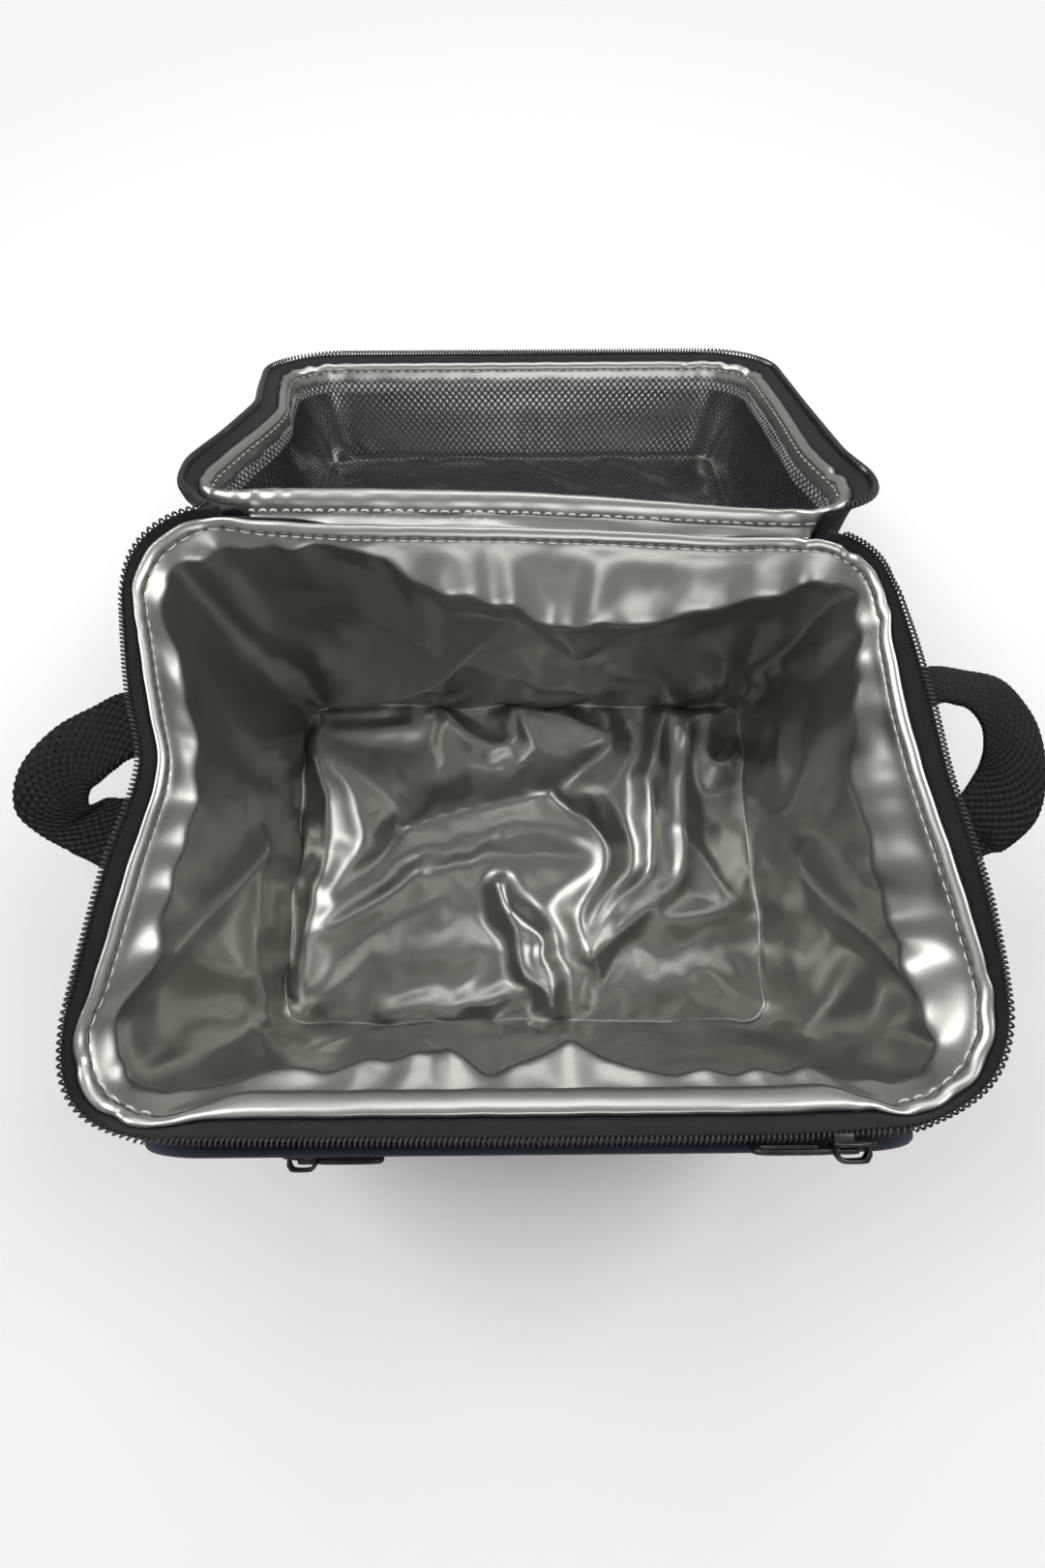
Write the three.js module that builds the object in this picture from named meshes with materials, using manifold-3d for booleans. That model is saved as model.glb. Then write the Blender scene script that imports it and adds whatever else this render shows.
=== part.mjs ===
// Insulated lunch bag, open, with its deep lid hanging behind it.
// Millimetres, +Z up, +Y to the back. The origin is the centre of the underside of the base.
import * as THREE from 'three';
import { mergeVertices } from 'three/addons/utils/BufferGeometryUtils.js';
import Module from 'manifold-3d';

const wasm = await Module();
wasm.setup();

// Body: outer size over the fabric, and the height at which the two zipper halves meet
const bodyWidth = 224;
const bodyDepth = 162;
const partingHeight = 141;
const cornerRadius = 24;
const cornerSteps = 6;

// Layers of the wall, from the outside in
const fabricThickness = 0.8;
const foamThickness = 4.5;
const linerThickness = 0.6;
const layerGap = 0.3;
const foamIn = fabricThickness + layerGap;
const linerIn = foamIn + foamThickness + layerGap;
const cavityIn = linerIn + linerThickness;

// Base
const basePanelThickness = 1.2;
const basePanelInset = 0.6;
const basePipingRadius = 1.7;
const wallBottom = basePanelThickness + layerGap;
const linerFloor = wallBottom + foamThickness + layerGap;

// Rim: the tape flares out from the wall and carries the coil along its edge
const flangeRise = 7;
const flangeReach = 5.6;
const tapeThickness = 0.6;
const tapeLap = 8;
const coilReach = 8;
const coilWidth = 2.2;
const coilHeight = 2;
const coilToothPitch = 4;
const coilToothDepth = 0.8;
const partingGap = 0.3;
const zipperEndInset = 26;
const wallTop = partingHeight - flangeRise;

// Rim binding: a padded bead on the edge of foam and liner, with a flap down the inside
const beadHeight = 6.4;
const beadRound = 1.8;
const bindingFlap = 9;
const bindingThickness = 0.7;
const beadTopDrop = 4.6;
const beadTop = partingHeight - beadTopDrop;
const foamTop = beadTop - beadHeight - layerGap;

// Hinge strip between the two zipper ends
const hingeEndGap = 1.5;
const hingeClearance = 0.5;
const hingeY = bodyDepth / 2 + coilReach + hingeClearance;
const lidOpenAngle = 209;

// Lid: a shallow tray whose walls lean in, more at the back so that it can fold right over
const lidHeight = 50;
const lidShoulder = 6;
const lidLean = 5;
const lidBackLean = 14;
const lidLeanStart = 20;
const lidShoulderInset = 6;
const lidPipingRadius = 1.6;

// Mesh lining of the lid, with its flat face full of diamond gaps
const meshThickness = 0.8;
const meshStandOff = 3;
const meshRimLap = 4;
const meshColumns = 20;
const meshRows = 11;
const meshGapShare = 0.66;
const meshBorder = 7;

// Front pocket: gusset, bowed front panel, piping, and a parted zipper across the panel
const pocketWidth = 216;
const pocketTopDrop = 18;
const pocketBottom = 15;
const pocketHeight = partingHeight - pocketTopDrop - pocketBottom;
const pocketDepth = 14;
const pocketRadius = 22;
const pocketBow = 3.4;
const pocketBowInset = 16;
const pocketEdgeInset = 3;
const pocketPipingRadius = 1.5;
const pocketSlotWidth = 4.6;
const pocketZipLength = 152;
const pocketZipDrop = 18;
const pocketTapeWidth = 10.5;
const pocketCoilWidth = 1.6;
const pocketCoilHeight = 1.5;

// Webbing side handles
const webbingWidth = 25;
const webbingThickness = 1.8;
const handleDrop = 8;
const handleHeight = partingHeight - flangeRise - tapeLap - handleDrop;
const handleBackY = 28;
const handleFrontY = -14;
const handleReach = 39;
const handleRise = 8;
const handleTilt = 42;
const handleSteps = 20;
const rootNoseShare = 0.9;
const rootThinShare = 0.3;
const tabHeight = 46;

// Zipper sliders and their pull tabs
const sliderLength = 11;
const sliderPlate = 1.5;
const sliderNoseShare = 0.62;
const sliderLip = 0.8;
const mainLipIn = 2.6;
const sliderLipDrop = 1.5;
const bridgeWidth = 2.4;
const bridgeOpening = 2.3;
const bridgeBar = 1;
const pullLength = 26;
const pullWidth = 6.5;
const pullThickness = 1.2;
const pullHookBar = 1.3;
const pullEyeLength = 5;
const pullEyeWidth = 4;
const mainSliderEndGap = 10;
const pocketSliderEndGap = 2;

const leaning = (share) => share * share * (3 - 2 * share);

// Materials
const paint = (color, roughness, metalness = 0) =>
  new THREE.MeshStandardMaterial({ color, roughness, metalness });
const blackFabric = paint(0x1b1b1d, 0.85);
const navyFabric = paint(0x202a40, 0.85);
const foamWhite = paint(0xdedfda, 0.9);
const silverFoil = paint(0x8f918c, 0.35, 0.6);
const silverBinding = paint(0xa9aaa4, 0.4, 0.5);
const zipperBlack = paint(0x151516, 0.6);
const coilBlack = paint(0x2a2a2c, 0.35);
const webbingBlack = paint(0x141415, 0.8);
const meshBlack = paint(0x101012, 0.7);
const sliderMetal = paint(0x3a3532, 0.35, 0.9);

const root = new THREE.Group();

function addMesh(parent, name, geometry, material) {
  const mesh = new THREE.Mesh(geometry, material);
  mesh.name = name;
  parent.add(mesh);
  return mesh;
}

// Signed volume of an indexed mesh, to turn its faces outwards.
function signedVolume(positions, index) {
  let volume = 0;
  const corner = (i) => new THREE.Vector3().fromArray(positions, index[i] * 3);
  for (let i = 0; i < index.length; i += 3) {
    volume += corner(i).dot(corner(i + 1).cross(corner(i + 2)));
  }
  return volume / 6;
}

function closedGeometry(points, index) {
  const positions = points.flat();
  const turned = signedVolume(positions, index) < 0 ? [...index].reverse() : index;
  const geometry = new THREE.BufferGeometry();
  geometry.setAttribute('position', new THREE.Float32BufferAttribute(positions, 3));
  geometry.setIndex(turned);
  geometry.computeVertexNormals();
  return geometry;
}

// A skin through rings of equal count. Capped: the first and last rings are filled, with the
// given flat outline. Otherwise the last ring joins the first, which makes a closed band.
function loft(rings, capOutline = null) {
  const count = rings[0].length;
  const bands = capOutline ? rings.length - 1 : rings.length;
  const index = [];
  for (let band = 0; band < bands; band++) {
    const next = (band + 1) % rings.length;
    for (let i = 0; i < count; i++) {
      const j = (i + 1) % count;
      const [a, b, c, d] = [band * count + i, band * count + j, next * count + j, next * count + i];
      index.push(a, b, c, a, c, d);
    }
  }
  if (capOutline) {
    const outline = capOutline.map(([x, y]) => new THREE.Vector2(x, y));
    const last = (rings.length - 1) * count;
    for (const [a, b, c] of THREE.ShapeUtils.triangulateShape(outline, [])) {
      const flip = THREE.ShapeUtils.isClockWise(outline);
      const [p, q] = flip ? [b, c] : [c, b];
      index.push(a, p, q, last + a, last + q, last + p);
    }
  }
  return closedGeometry(rings.flat(), index);
}

// Outline of a rectangle with round corners, counterclockwise from its right side.
function roundOutline({ left, right, front, back, radius }) {
  const points = [];
  const corners = [
    [right - radius, back - radius],
    [left + radius, back - radius],
    [left + radius, front + radius],
    [right - radius, front + radius],
  ];
  corners.forEach(([x, y], quarter) => {
    for (let step = 0; step <= cornerSteps; step++) {
      const angle = (quarter + step / cornerSteps) * (Math.PI / 2);
      points.push([x + radius * Math.cos(angle), y + radius * Math.sin(angle)]);
    }
  });
  return points;
}

// The body's plan, grown by an offset.
const bodyPlan = (out) => ({
  left: -bodyWidth / 2 - out,
  right: bodyWidth / 2 + out,
  front: -bodyDepth / 2 - out,
  back: bodyDepth / 2 + out,
  radius: cornerRadius + out,
});

const ringAt = (plan, z) => roundOutline(plan).map(([x, y]) => [x, y, z]);

// A band round the body, from a closed profile of [outward, height] points.
const bodyBand = (profile) => loft(profile.map(([out, z]) => ringAt(bodyPlan(out), z)));

// A block between two rings.
function bodyPlate(out, bottom, top) {
  return loft([ringAt(bodyPlan(out), bottom), ringAt(bodyPlan(out), top)], roundOutline(bodyPlan(out)));
}

// Stations along the body's plan from one angle sector to another: each has a point on the
// plan and the outward direction there.
function sectorStations(fromQuarter, toQuarter) {
  const stations = [];
  const halfX = bodyWidth / 2 - cornerRadius;
  const halfY = bodyDepth / 2 - cornerRadius;
  const centres = [[halfX, halfY], [-halfX, halfY], [-halfX, -halfY], [halfX, -halfY]];
  for (let quarter = fromQuarter; quarter < toQuarter; quarter++) {
    const [x, y] = centres[((quarter % 4) + 4) % 4];
    for (let step = 0; step <= cornerSteps; step++) {
      const angle = (quarter + step / cornerSteps) * (Math.PI / 2);
      const [nx, ny] = [Math.cos(angle), Math.sin(angle)];
      stations.push({ x: x + cornerRadius * nx, y: y + cornerRadius * ny, nx, ny });
    }
  }
  return stations;
}

const ringsAlong = (stations, profileAt) =>
  stations.map((s, i) => profileAt(i).map(([out, z]) => [s.x + s.nx * out, s.y + s.ny * out, z]));

// The zipper runs from the back edge round the left side, the front and the right side to the
// back edge again.
const zipperEndX = bodyWidth / 2 - zipperEndInset;
function zipperStations() {
  const start = { x: -zipperEndX, y: bodyDepth / 2, nx: 0, ny: 1 };
  const end = { x: zipperEndX, y: bodyDepth / 2, nx: 0, ny: 1 };
  return [start, ...sectorStations(1, 5), end];
}

// The same line cut into equal steps, measured along the coil.
function toothStations(stepLength) {
  const corner = zipperStations();
  const at = (s) => new THREE.Vector2(s.x + s.nx * coilReach, s.y + s.ny * coilReach);
  const lengths = [0];
  for (let i = 1; i < corner.length; i++) {
    lengths.push(lengths[i - 1] + at(corner[i]).distanceTo(at(corner[i - 1])));
  }
  const total = lengths.at(-1);
  const steps = 2 * Math.round(total / stepLength / 2) + 1;
  const stations = [];
  for (let step = 0; step <= steps; step++) {
    const along = (total * step) / steps;
    let i = 1;
    while (i < lengths.length - 1 && lengths[i] < along) i++;
    const share = (along - lengths[i - 1]) / (lengths[i] - lengths[i - 1]);
    const mix = (key) => corner[i - 1][key] * (1 - share) + corner[i][key] * share;
    stations.push({ x: mix('x'), y: mix('y'), nx: mix('nx'), ny: mix('ny') });
  }
  return stations;
}

// Rim profiles. The height of each point is measured from the parting plane, downwards for the
// body and upwards for the lid.
const mirrored = (profile, side) => profile.map(([out, drop]) => [out, partingHeight - side * drop]);
const bodySide = 1;
const lidSide = -1;
const coilDrop = partingGap / 2 + coilHeight / 2;
const tapeEdgeDrop = coilDrop + coilHeight / 2 - tapeThickness;

const tapeProfile = [
  [layerGap, flangeRise + tapeLap],
  [layerGap + tapeThickness, flangeRise + tapeLap],
  [layerGap + tapeThickness, flangeRise],
  [flangeReach, tapeEdgeDrop + tapeThickness],
  [flangeReach, tapeEdgeDrop],
  [layerGap, flangeRise - tapeThickness],
];

const beadIn = foamIn;
const beadWidth = linerIn + linerThickness + layerGap + bindingThickness - beadIn;
const bindingProfile = [
  [-beadIn, beadTopDrop + beadHeight],
  [-beadIn, beadTopDrop + beadRound],
  [-beadIn - beadRound / 2, beadTopDrop + beadRound / 3],
  [-beadIn - beadWidth / 2, beadTopDrop],
  [-beadIn - beadWidth + beadRound / 2, beadTopDrop + beadRound / 3],
  [-beadIn - beadWidth, beadTopDrop + beadRound],
  [-beadIn - beadWidth, beadTopDrop + beadHeight + bindingFlap],
  [-beadIn - beadWidth + bindingThickness, beadTopDrop + beadHeight + bindingFlap],
  [-beadIn - beadWidth + bindingThickness, beadTopDrop + beadHeight],
];

function zipperCoil(side) {
  const stations = toothStations(coilToothPitch / 2);
  const tooth = (i) => {
    const reach = i % 2 ? coilReach : coilReach - coilToothDepth;
    const inner = coilReach - coilWidth;
    const half = coilHeight / 2;
    return mirrored([
      [inner, coilDrop - half],
      [reach, coilDrop - half / 2],
      [reach, coilDrop + half / 2],
      [inner, coilDrop + half],
    ], side);
  };
  return loft(ringsAlong(stations, tooth), tooth(0));
}

function zipperTape(side) {
  const profile = mirrored(tapeProfile, side);
  return loft(ringsAlong(zipperStations(), () => profile), profile);
}

// The fabric that joins lid and body along the back, as the half that follows one of them.
function hingeStrip(side) {
  const halfLength = zipperEndX - hingeEndGap;
  const back = bodyDepth / 2;
  const stations = [halfLength, -halfLength].map((x) => ({ x, y: back, nx: 0, ny: 1 }));
  const reach = coilReach - partingGap;
  const profile = mirrored([
    [layerGap, flangeRise + tapeLap],
    [layerGap + tapeThickness, flangeRise + tapeLap],
    [layerGap + tapeThickness, flangeRise],
    [reach, partingGap / 2 + tapeThickness],
    [reach, partingGap / 2],
    [layerGap, flangeRise - tapeThickness],
  ], side);
  return loft(ringsAlong(stations, () => profile), profile);
}

// Body shell
addMesh(root, 'base_panel', bodyPlate(-basePanelInset, 0, basePanelThickness), blackFabric);
addMesh(root, 'outer_wall', bodyBand([
  [0, wallBottom],
  [0, wallTop],
  [-fabricThickness, wallTop],
  [-fabricThickness, wallBottom],
]), blackFabric);

function pipingProfile(out, z, radius) {
  const sides = 8;
  return Array.from({ length: sides }, (_, i) => {
    const angle = ((i + 0.5) / sides) * 2 * Math.PI;
    return [out + radius * Math.cos(angle), z + radius * Math.sin(angle)];
  });
}
addMesh(root, 'base_piping', bodyBand(
  pipingProfile(basePipingRadius + layerGap, basePipingRadius + layerGap, basePipingRadius),
), blackFabric);

// Foam sheets: front and back with the corners, the two sides between them, and the base
const foamProfile = [
  [-foamIn, wallBottom],
  [-foamIn, foamTop],
  [-foamIn - foamThickness, foamTop],
  [-foamIn - foamThickness, wallBottom],
];
const foamSheet = (stations) => loft(ringsAlong(stations, () => foamProfile), foamProfile);
addMesh(root, 'foam_front', foamSheet(sectorStations(2, 4)), foamWhite);
addMesh(root, 'foam_back', foamSheet(sectorStations(0, 2)), foamWhite);

function foamSide(side) {
  const halfLength = bodyDepth / 2 - cornerRadius - layerGap;
  const stations = [-halfLength, halfLength].map((y) => ({
    x: side * bodyWidth / 2, y: side * y, nx: side, ny: 0,
  }));
  return foamSheet(stations);
}
addMesh(root, 'foam_left', foamSide(-1), foamWhite);
addMesh(root, 'foam_right', foamSide(1), foamWhite);
addMesh(root, 'foam_base', bodyPlate(-linerIn, wallBottom, wallBottom + foamThickness), foamWhite);

// Liner: a foil box open at the top
addMesh(root, 'liner', loft([
  ringAt(bodyPlan(-linerIn), linerFloor),
  ringAt(bodyPlan(-linerIn), foamTop),
  ringAt(bodyPlan(-cavityIn), foamTop),
  ringAt(bodyPlan(-cavityIn), linerFloor + linerThickness),
], roundOutline(bodyPlan(-cavityIn))), silverFoil);

addMesh(root, 'rim_binding', bodyBand(mirrored(bindingProfile, bodySide)), silverBinding);
addMesh(root, 'zipper_tape_body', zipperTape(bodySide), zipperBlack);
addMesh(root, 'zipper_coil_body', zipperCoil(bodySide), coilBlack);
addMesh(root, 'hinge_strip_body', hingeStrip(bodySide), blackFabric);

// Lid, built closed above the body and then swung open about the hinge line
const lidPivot = new THREE.Group();
lidPivot.position.set(0, hingeY, partingHeight);
lidPivot.rotation.x = -THREE.MathUtils.degToRad(lidOpenAngle);
root.add(lidPivot);
const lid = new THREE.Group();
lid.position.set(0, -hingeY, -partingHeight);
lidPivot.add(lid);

const lidBaseRise = flangeRise;
const lidLeanRise = lidHeight - lidShoulder - lidLeanStart;

// The lid's plan at a height above the parting plane, pulled in by an inset.
function lidPlan(rise, inset) {
  const share = Math.max(0, (rise - lidLeanStart) / lidLeanRise);
  const lean = lidLean * share;
  const backLean = lidBackLean * share;
  return {
    left: -bodyWidth / 2 + lean + inset,
    right: bodyWidth / 2 - lean - inset,
    front: -bodyDepth / 2 + lean + inset,
    back: bodyDepth / 2 - backLean - inset,
    radius: cornerRadius - inset,
  };
}
const lidRing = (rise, inset) => ringAt(lidPlan(rise, inset), partingHeight + rise);

// A layer of the lid: its walls and its top as one tray, at a depth in from the outer face.
function lidTray(depthIn, thickness, baseRise, shoulderInset) {
  const shoulder = lidHeight - lidShoulder;
  const inner = depthIn + thickness;
  const outerTop = lidRing(lidHeight, depthIn + shoulderInset);
  const drop = (ring, by) => ring.map(([x, y, z]) => [x, y, z - by]);
  const innerTop = lidRing(lidHeight, inner + shoulderInset);
  return loft([
    drop(innerTop, inner),
    drop(lidRing(shoulder, inner), depthIn),
    lidRing(lidLeanStart, inner),
    lidRing(baseRise, inner),
    lidRing(baseRise, depthIn),
    lidRing(lidLeanStart, depthIn),
    drop(lidRing(shoulder, depthIn), depthIn),
    drop(outerTop, depthIn),
  ], roundOutline(lidPlan(lidHeight, depthIn + shoulderInset)));
}
const lidFoamBase = partingHeight - foamTop;
const lidPipingRise = lidHeight - lidShoulder;
addMesh(lid, 'lid_wall', loft([
  lidRing(lidBaseRise, 0),
  lidRing(lidLeanStart, 0),
  lidRing(lidPipingRise, 0),
  lidRing(lidPipingRise, fabricThickness),
  lidRing(lidLeanStart, fabricThickness),
  lidRing(lidBaseRise, fabricThickness),
]), blackFabric);

// Top of the lid: a panel whose edge turns down to the piping
const lidTopRise = lidHeight - fabricThickness;
addMesh(lid, 'lid_top', loft([
  ringAt(lidPlan(lidHeight, fabricThickness + lidShoulderInset), partingHeight + lidTopRise),
  lidRing(lidPipingRise + layerGap, fabricThickness),
  lidRing(lidPipingRise + layerGap, 0),
  lidRing(lidHeight, lidShoulderInset),
], roundOutline(lidPlan(lidHeight, lidShoulderInset))), navyFabric);
addMesh(lid, 'lid_liner', lidTray(linerIn, linerThickness, lidFoamBase, lidShoulderInset), silverFoil);

// Foam of the lid: walls up to the shoulder, and a flat sheet in the top
const lidFoamShoulder = lidHeight - lidShoulder - linerIn;
addMesh(lid, 'lid_foam_walls', loft([
  lidRing(lidFoamBase, foamIn),
  lidRing(lidLeanStart, foamIn),
  lidRing(lidFoamShoulder, foamIn),
  lidRing(lidFoamShoulder, foamIn + foamThickness),
  lidRing(lidLeanStart, foamIn + foamThickness),
  lidRing(lidFoamBase, foamIn + foamThickness),
]), foamWhite);
const foamTopRise = lidHeight - foamIn - foamThickness;
const foamTopPlan = lidPlan(lidHeight, linerIn + lidShoulderInset);
addMesh(lid, 'lid_foam_top', loft([
  ringAt(foamTopPlan, partingHeight + foamTopRise),
  ringAt(foamTopPlan, partingHeight + foamTopRise + foamThickness),
], roundOutline(foamTopPlan)), foamWhite);

addMesh(lid, 'lid_binding', bodyBand(mirrored(bindingProfile, lidSide)), silverBinding);
addMesh(lid, 'zipper_tape_lid', zipperTape(lidSide), zipperBlack);
addMesh(lid, 'zipper_coil_lid', zipperCoil(lidSide), coilBlack);
addMesh(lid, 'hinge_strip_lid', hingeStrip(lidSide), blackFabric);

// Piping round the lid's shoulder
const lidPiping = pipingProfile(lidPipingRadius + layerGap, lidPipingRise, lidPipingRadius);
addMesh(lid, 'lid_piping', loft(lidPiping.map(([out, rise]) =>
  ringAt(lidPlan(rise, -out), partingHeight + rise),
)), blackFabric);

function toSolid(geometry) {
  const bare = geometry.clone();
  bare.deleteAttribute('normal');
  bare.deleteAttribute('uv');
  const merged = mergeVertices(bare);
  return new wasm.Manifold(new wasm.Mesh({
    numProp: 3,
    vertProperties: merged.attributes.position.array,
    triVerts: new Uint32Array(merged.index.array),
  }));
}

function fromSolid(solid) {
  const { vertProperties, triVerts } = solid.getMesh();
  const geometry = new THREE.BufferGeometry();
  geometry.setAttribute('position', new THREE.Float32BufferAttribute(vertProperties, 3));
  geometry.setIndex(new THREE.BufferAttribute(triVerts, 1));
  geometry.computeVertexNormals();
  return geometry;
}

// Mesh lining: walls hang from the binding, and the flat part is a net of diamond gaps
function meshLining() {
  const inset = cavityIn + layerGap + meshStandOff;
  const wallIn = inset + meshThickness;
  const flatRise = lidHeight - cavityIn - meshStandOff;
  const rimRise = beadTopDrop + beadHeight + bindingFlap - meshRimLap;
  const rimIn = beadIn + beadWidth + layerGap;
  const corner = lidShoulderInset;
  const flat = (extra, rise) => ringAt(lidPlan(lidHeight, extra + corner), partingHeight + rise);
  const outline = roundOutline(lidPlan(lidHeight, inset + corner));
  const tray = toSolid(loft([
    flat(wallIn, flatRise - meshThickness),
    lidRing(rimRise + meshRimLap, rimIn + meshThickness),
    lidRing(rimRise, rimIn + meshThickness),
    lidRing(rimRise, rimIn),
    lidRing(rimRise + meshRimLap, rimIn),
    flat(inset, flatRise),
  ], outline));
  const innerPlan = lidPlan(lidHeight, wallIn + corner + meshBorder);
  const pitchX = (innerPlan.right - innerPlan.left) / meshColumns;
  const pitchY = (innerPlan.back - innerPlan.front) / meshRows;
  const halfX = (pitchX * meshGapShare) / 2;
  const halfY = (pitchY * meshGapShare) / 2;
  const cutDepth = 3 * meshThickness;
  let holes = [];
  for (let row = 0; row < meshRows; row++) {
    for (let column = 0; column < meshColumns; column++) {
      const x = innerPlan.left + pitchX * (column + 0.5);
      const y = innerPlan.front + pitchY * (row + 0.5);
      const diamond = [[x + halfX, y], [x, y + halfY], [x - halfX, y], [x, y - halfY]];
      const middle = partingHeight + flatRise - meshThickness / 2;
      holes.push(toSolid(loft([
        diamond.map(([px, py]) => [px, py, middle - cutDepth / 2]),
        diamond.map(([px, py]) => [px, py, middle + cutDepth / 2]),
      ], diamond)));
    }
  }
  return fromSolid(tray.subtract(wasm.Manifold.union(holes)));
}
addMesh(lid, 'mesh_lining', meshLining(), meshBlack);

// Front pocket, laid out in its own plane and stood up against the front wall: local Y is up,
// and local Z is outwards from the wall.
const pocket = new THREE.Group();
const pocketMiddle = pocketBottom + pocketHeight / 2;
pocket.position.set(0, -bodyDepth / 2, pocketMiddle);
pocket.rotation.x = Math.PI / 2;
root.add(pocket);

const pocketPlan = (inset) => ({
  left: -pocketWidth / 2 + inset,
  right: pocketWidth / 2 - inset,
  front: -pocketHeight / 2 + inset,
  back: pocketHeight / 2 - inset,
  radius: pocketRadius - inset,
});
const pocketRing = (inset, out) => ringAt(pocketPlan(inset), out);

function pocketGusset() {
  const wallSide = -cornerRadius / 2;
  const ring = toSolid(loft([
    pocketRing(0, wallSide),
    pocketRing(0, pocketDepth),
    pocketRing(fabricThickness, pocketDepth),
    pocketRing(fabricThickness, wallSide),
  ]));
  const clearance = 2 * layerGap;
  const bodyBlock = loft([
    ringAt(bodyPlan(clearance), 0),
    ringAt(bodyPlan(clearance), partingHeight),
  ], roundOutline(bodyPlan(clearance)));
  bodyBlock.translate(0, bodyDepth / 2, -pocketMiddle);
  bodyBlock.rotateX(-Math.PI / 2);
  return fromSolid(ring.subtract(toSolid(bodyBlock)));
}
addMesh(pocket, 'pocket_gusset', pocketGusset(), blackFabric);

const panelBase = pocketDepth + layerGap;
const panelFace = panelBase + pocketBow;
const pocketZipY = pocketHeight / 2 - pocketZipDrop - pocketTapeWidth;
function pocketPanel() {
  const skin = toSolid(loft([
    pocketRing(pocketBowInset + fabricThickness, panelFace - fabricThickness),
    pocketRing(pocketEdgeInset + fabricThickness, panelBase),
    pocketRing(0, panelBase),
    pocketRing(0, panelBase + fabricThickness),
    pocketRing(pocketEdgeInset, panelBase + fabricThickness),
    pocketRing(pocketBowInset, panelFace),
  ], roundOutline(pocketPlan(pocketBowInset))));
  const slotLength = pocketZipLength - 2 * pocketTapeWidth;
  const slot = new THREE.BoxGeometry(slotLength, pocketSlotWidth, 4 * fabricThickness);
  slot.translate(0, pocketZipY, panelFace);
  return fromSolid(skin.subtract(toSolid(slot)));
}
addMesh(pocket, 'pocket_panel', pocketPanel(), navyFabric);

const pocketPiping = pipingProfile(pocketPipingRadius + layerGap, pocketDepth, pocketPipingRadius);
addMesh(pocket, 'pocket_piping', loft(
  pocketPiping.map(([out, rise]) => pocketRing(-out, rise)),
), blackFabric);

// Zipper of the pocket: two tapes on the panel, parted along the slot, each with its coil
const pocketCoilBase = panelFace + layerGap + tapeThickness + layerGap;
function pocketTape(side) {
  const tape = new THREE.BoxGeometry(pocketZipLength, pocketTapeWidth, tapeThickness);
  const y = pocketZipY + side * (pocketSlotWidth + pocketTapeWidth) / 2;
  tape.translate(0, y, panelFace + layerGap + tapeThickness / 2);
  return tape;
}

function pocketCoil(side) {
  const length = pocketZipLength - coilToothPitch;
  const teeth = 2 * Math.round(length / coilToothPitch) + 1;
  const section = (i) => {
    const inner = pocketSlotWidth / 2 + (i % 2 ? 0 : coilToothDepth / 2);
    const outer = pocketSlotWidth / 2 + pocketCoilWidth;
    const top = pocketCoilBase + pocketCoilHeight;
    return [
      [inner, pocketCoilBase],
      [outer, pocketCoilBase],
      [outer, top],
      [inner, top],
    ];
  };
  const rings = Array.from({ length: teeth }, (_, i) => {
    const x = -length / 2 + (length * i) / (teeth - 1);
    return section(i).map(([y, z]) => [x, pocketZipY + side * y, z]);
  });
  return loft(rings, section(0));
}
for (const [label, side] of [['upper', 1], ['lower', -1]]) {
  addMesh(pocket, `pocket_tape_${label}`, pocketTape(side), zipperBlack);
  addMesh(pocket, `pocket_coil_${label}`, pocketCoil(side), coilBlack);
}

// A slider: a plate over the coil with a tapered nose, a lip along each edge, and a bridge that
// holds the pull tab. Local X is along the zipper, Y across it, and Z away from the coil.
function sliderBody(lipIn) {
  const half = sliderLength / 2;
  const side = lipIn + 2 * sliderLip;
  const nose = side * sliderNoseShare;
  const outline = [
    [-half, -nose],
    [0, -side],
    [half, -side + layerGap],
    [half, side - layerGap],
    [0, side],
    [-half, nose],
  ];
  const plate = toSolid(loft([
    outline.map(([x, y]) => [x, y, 0]),
    outline.map(([x, y]) => [x, y, sliderPlate]),
  ], outline));
  const bridgeLength = sliderLength - 2 * bridgeBar;
  const bridge = new THREE.BoxGeometry(bridgeLength, bridgeWidth, bridgeOpening + 2 * bridgeBar);
  bridge.translate(0, 0, sliderPlate + bridgeOpening / 2);
  const eyeLength = bridgeLength - 2 * bridgeBar;
  const eye = new THREE.BoxGeometry(eyeLength, 2 * bridgeWidth, bridgeOpening);
  eye.translate(0, 0, sliderPlate + bridgeOpening / 2);
  const lifted = toSolid(bridge).subtract(toSolid(eye));
  const lips = [-1, 1].map((way) => {
    const lip = new THREE.BoxGeometry(half - layerGap, sliderLip, 2 * sliderLipDrop);
    lip.translate(half / 2, way * (lipIn + sliderLip / 2), 0);
    return toSolid(lip);
  });
  return plate.add(lifted).add(lips[0]).add(lips[1]);
}

// A pull tab with an eye that hooks round the bridge, lying along local +X from its pivot.
function pullTab() {
  const tab = new THREE.BoxGeometry(pullLength, pullWidth, pullThickness);
  tab.translate((pullLength - pullHookBar) / 2, 0, 0);
  const eye = new THREE.BoxGeometry(pullEyeLength, pullEyeWidth, 3 * pullThickness);
  eye.translate((pullHookBar + pullEyeLength) / 2, 0, 0);
  return fromSolid(toSolid(tab).subtract(toSolid(eye)));
}

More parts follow.
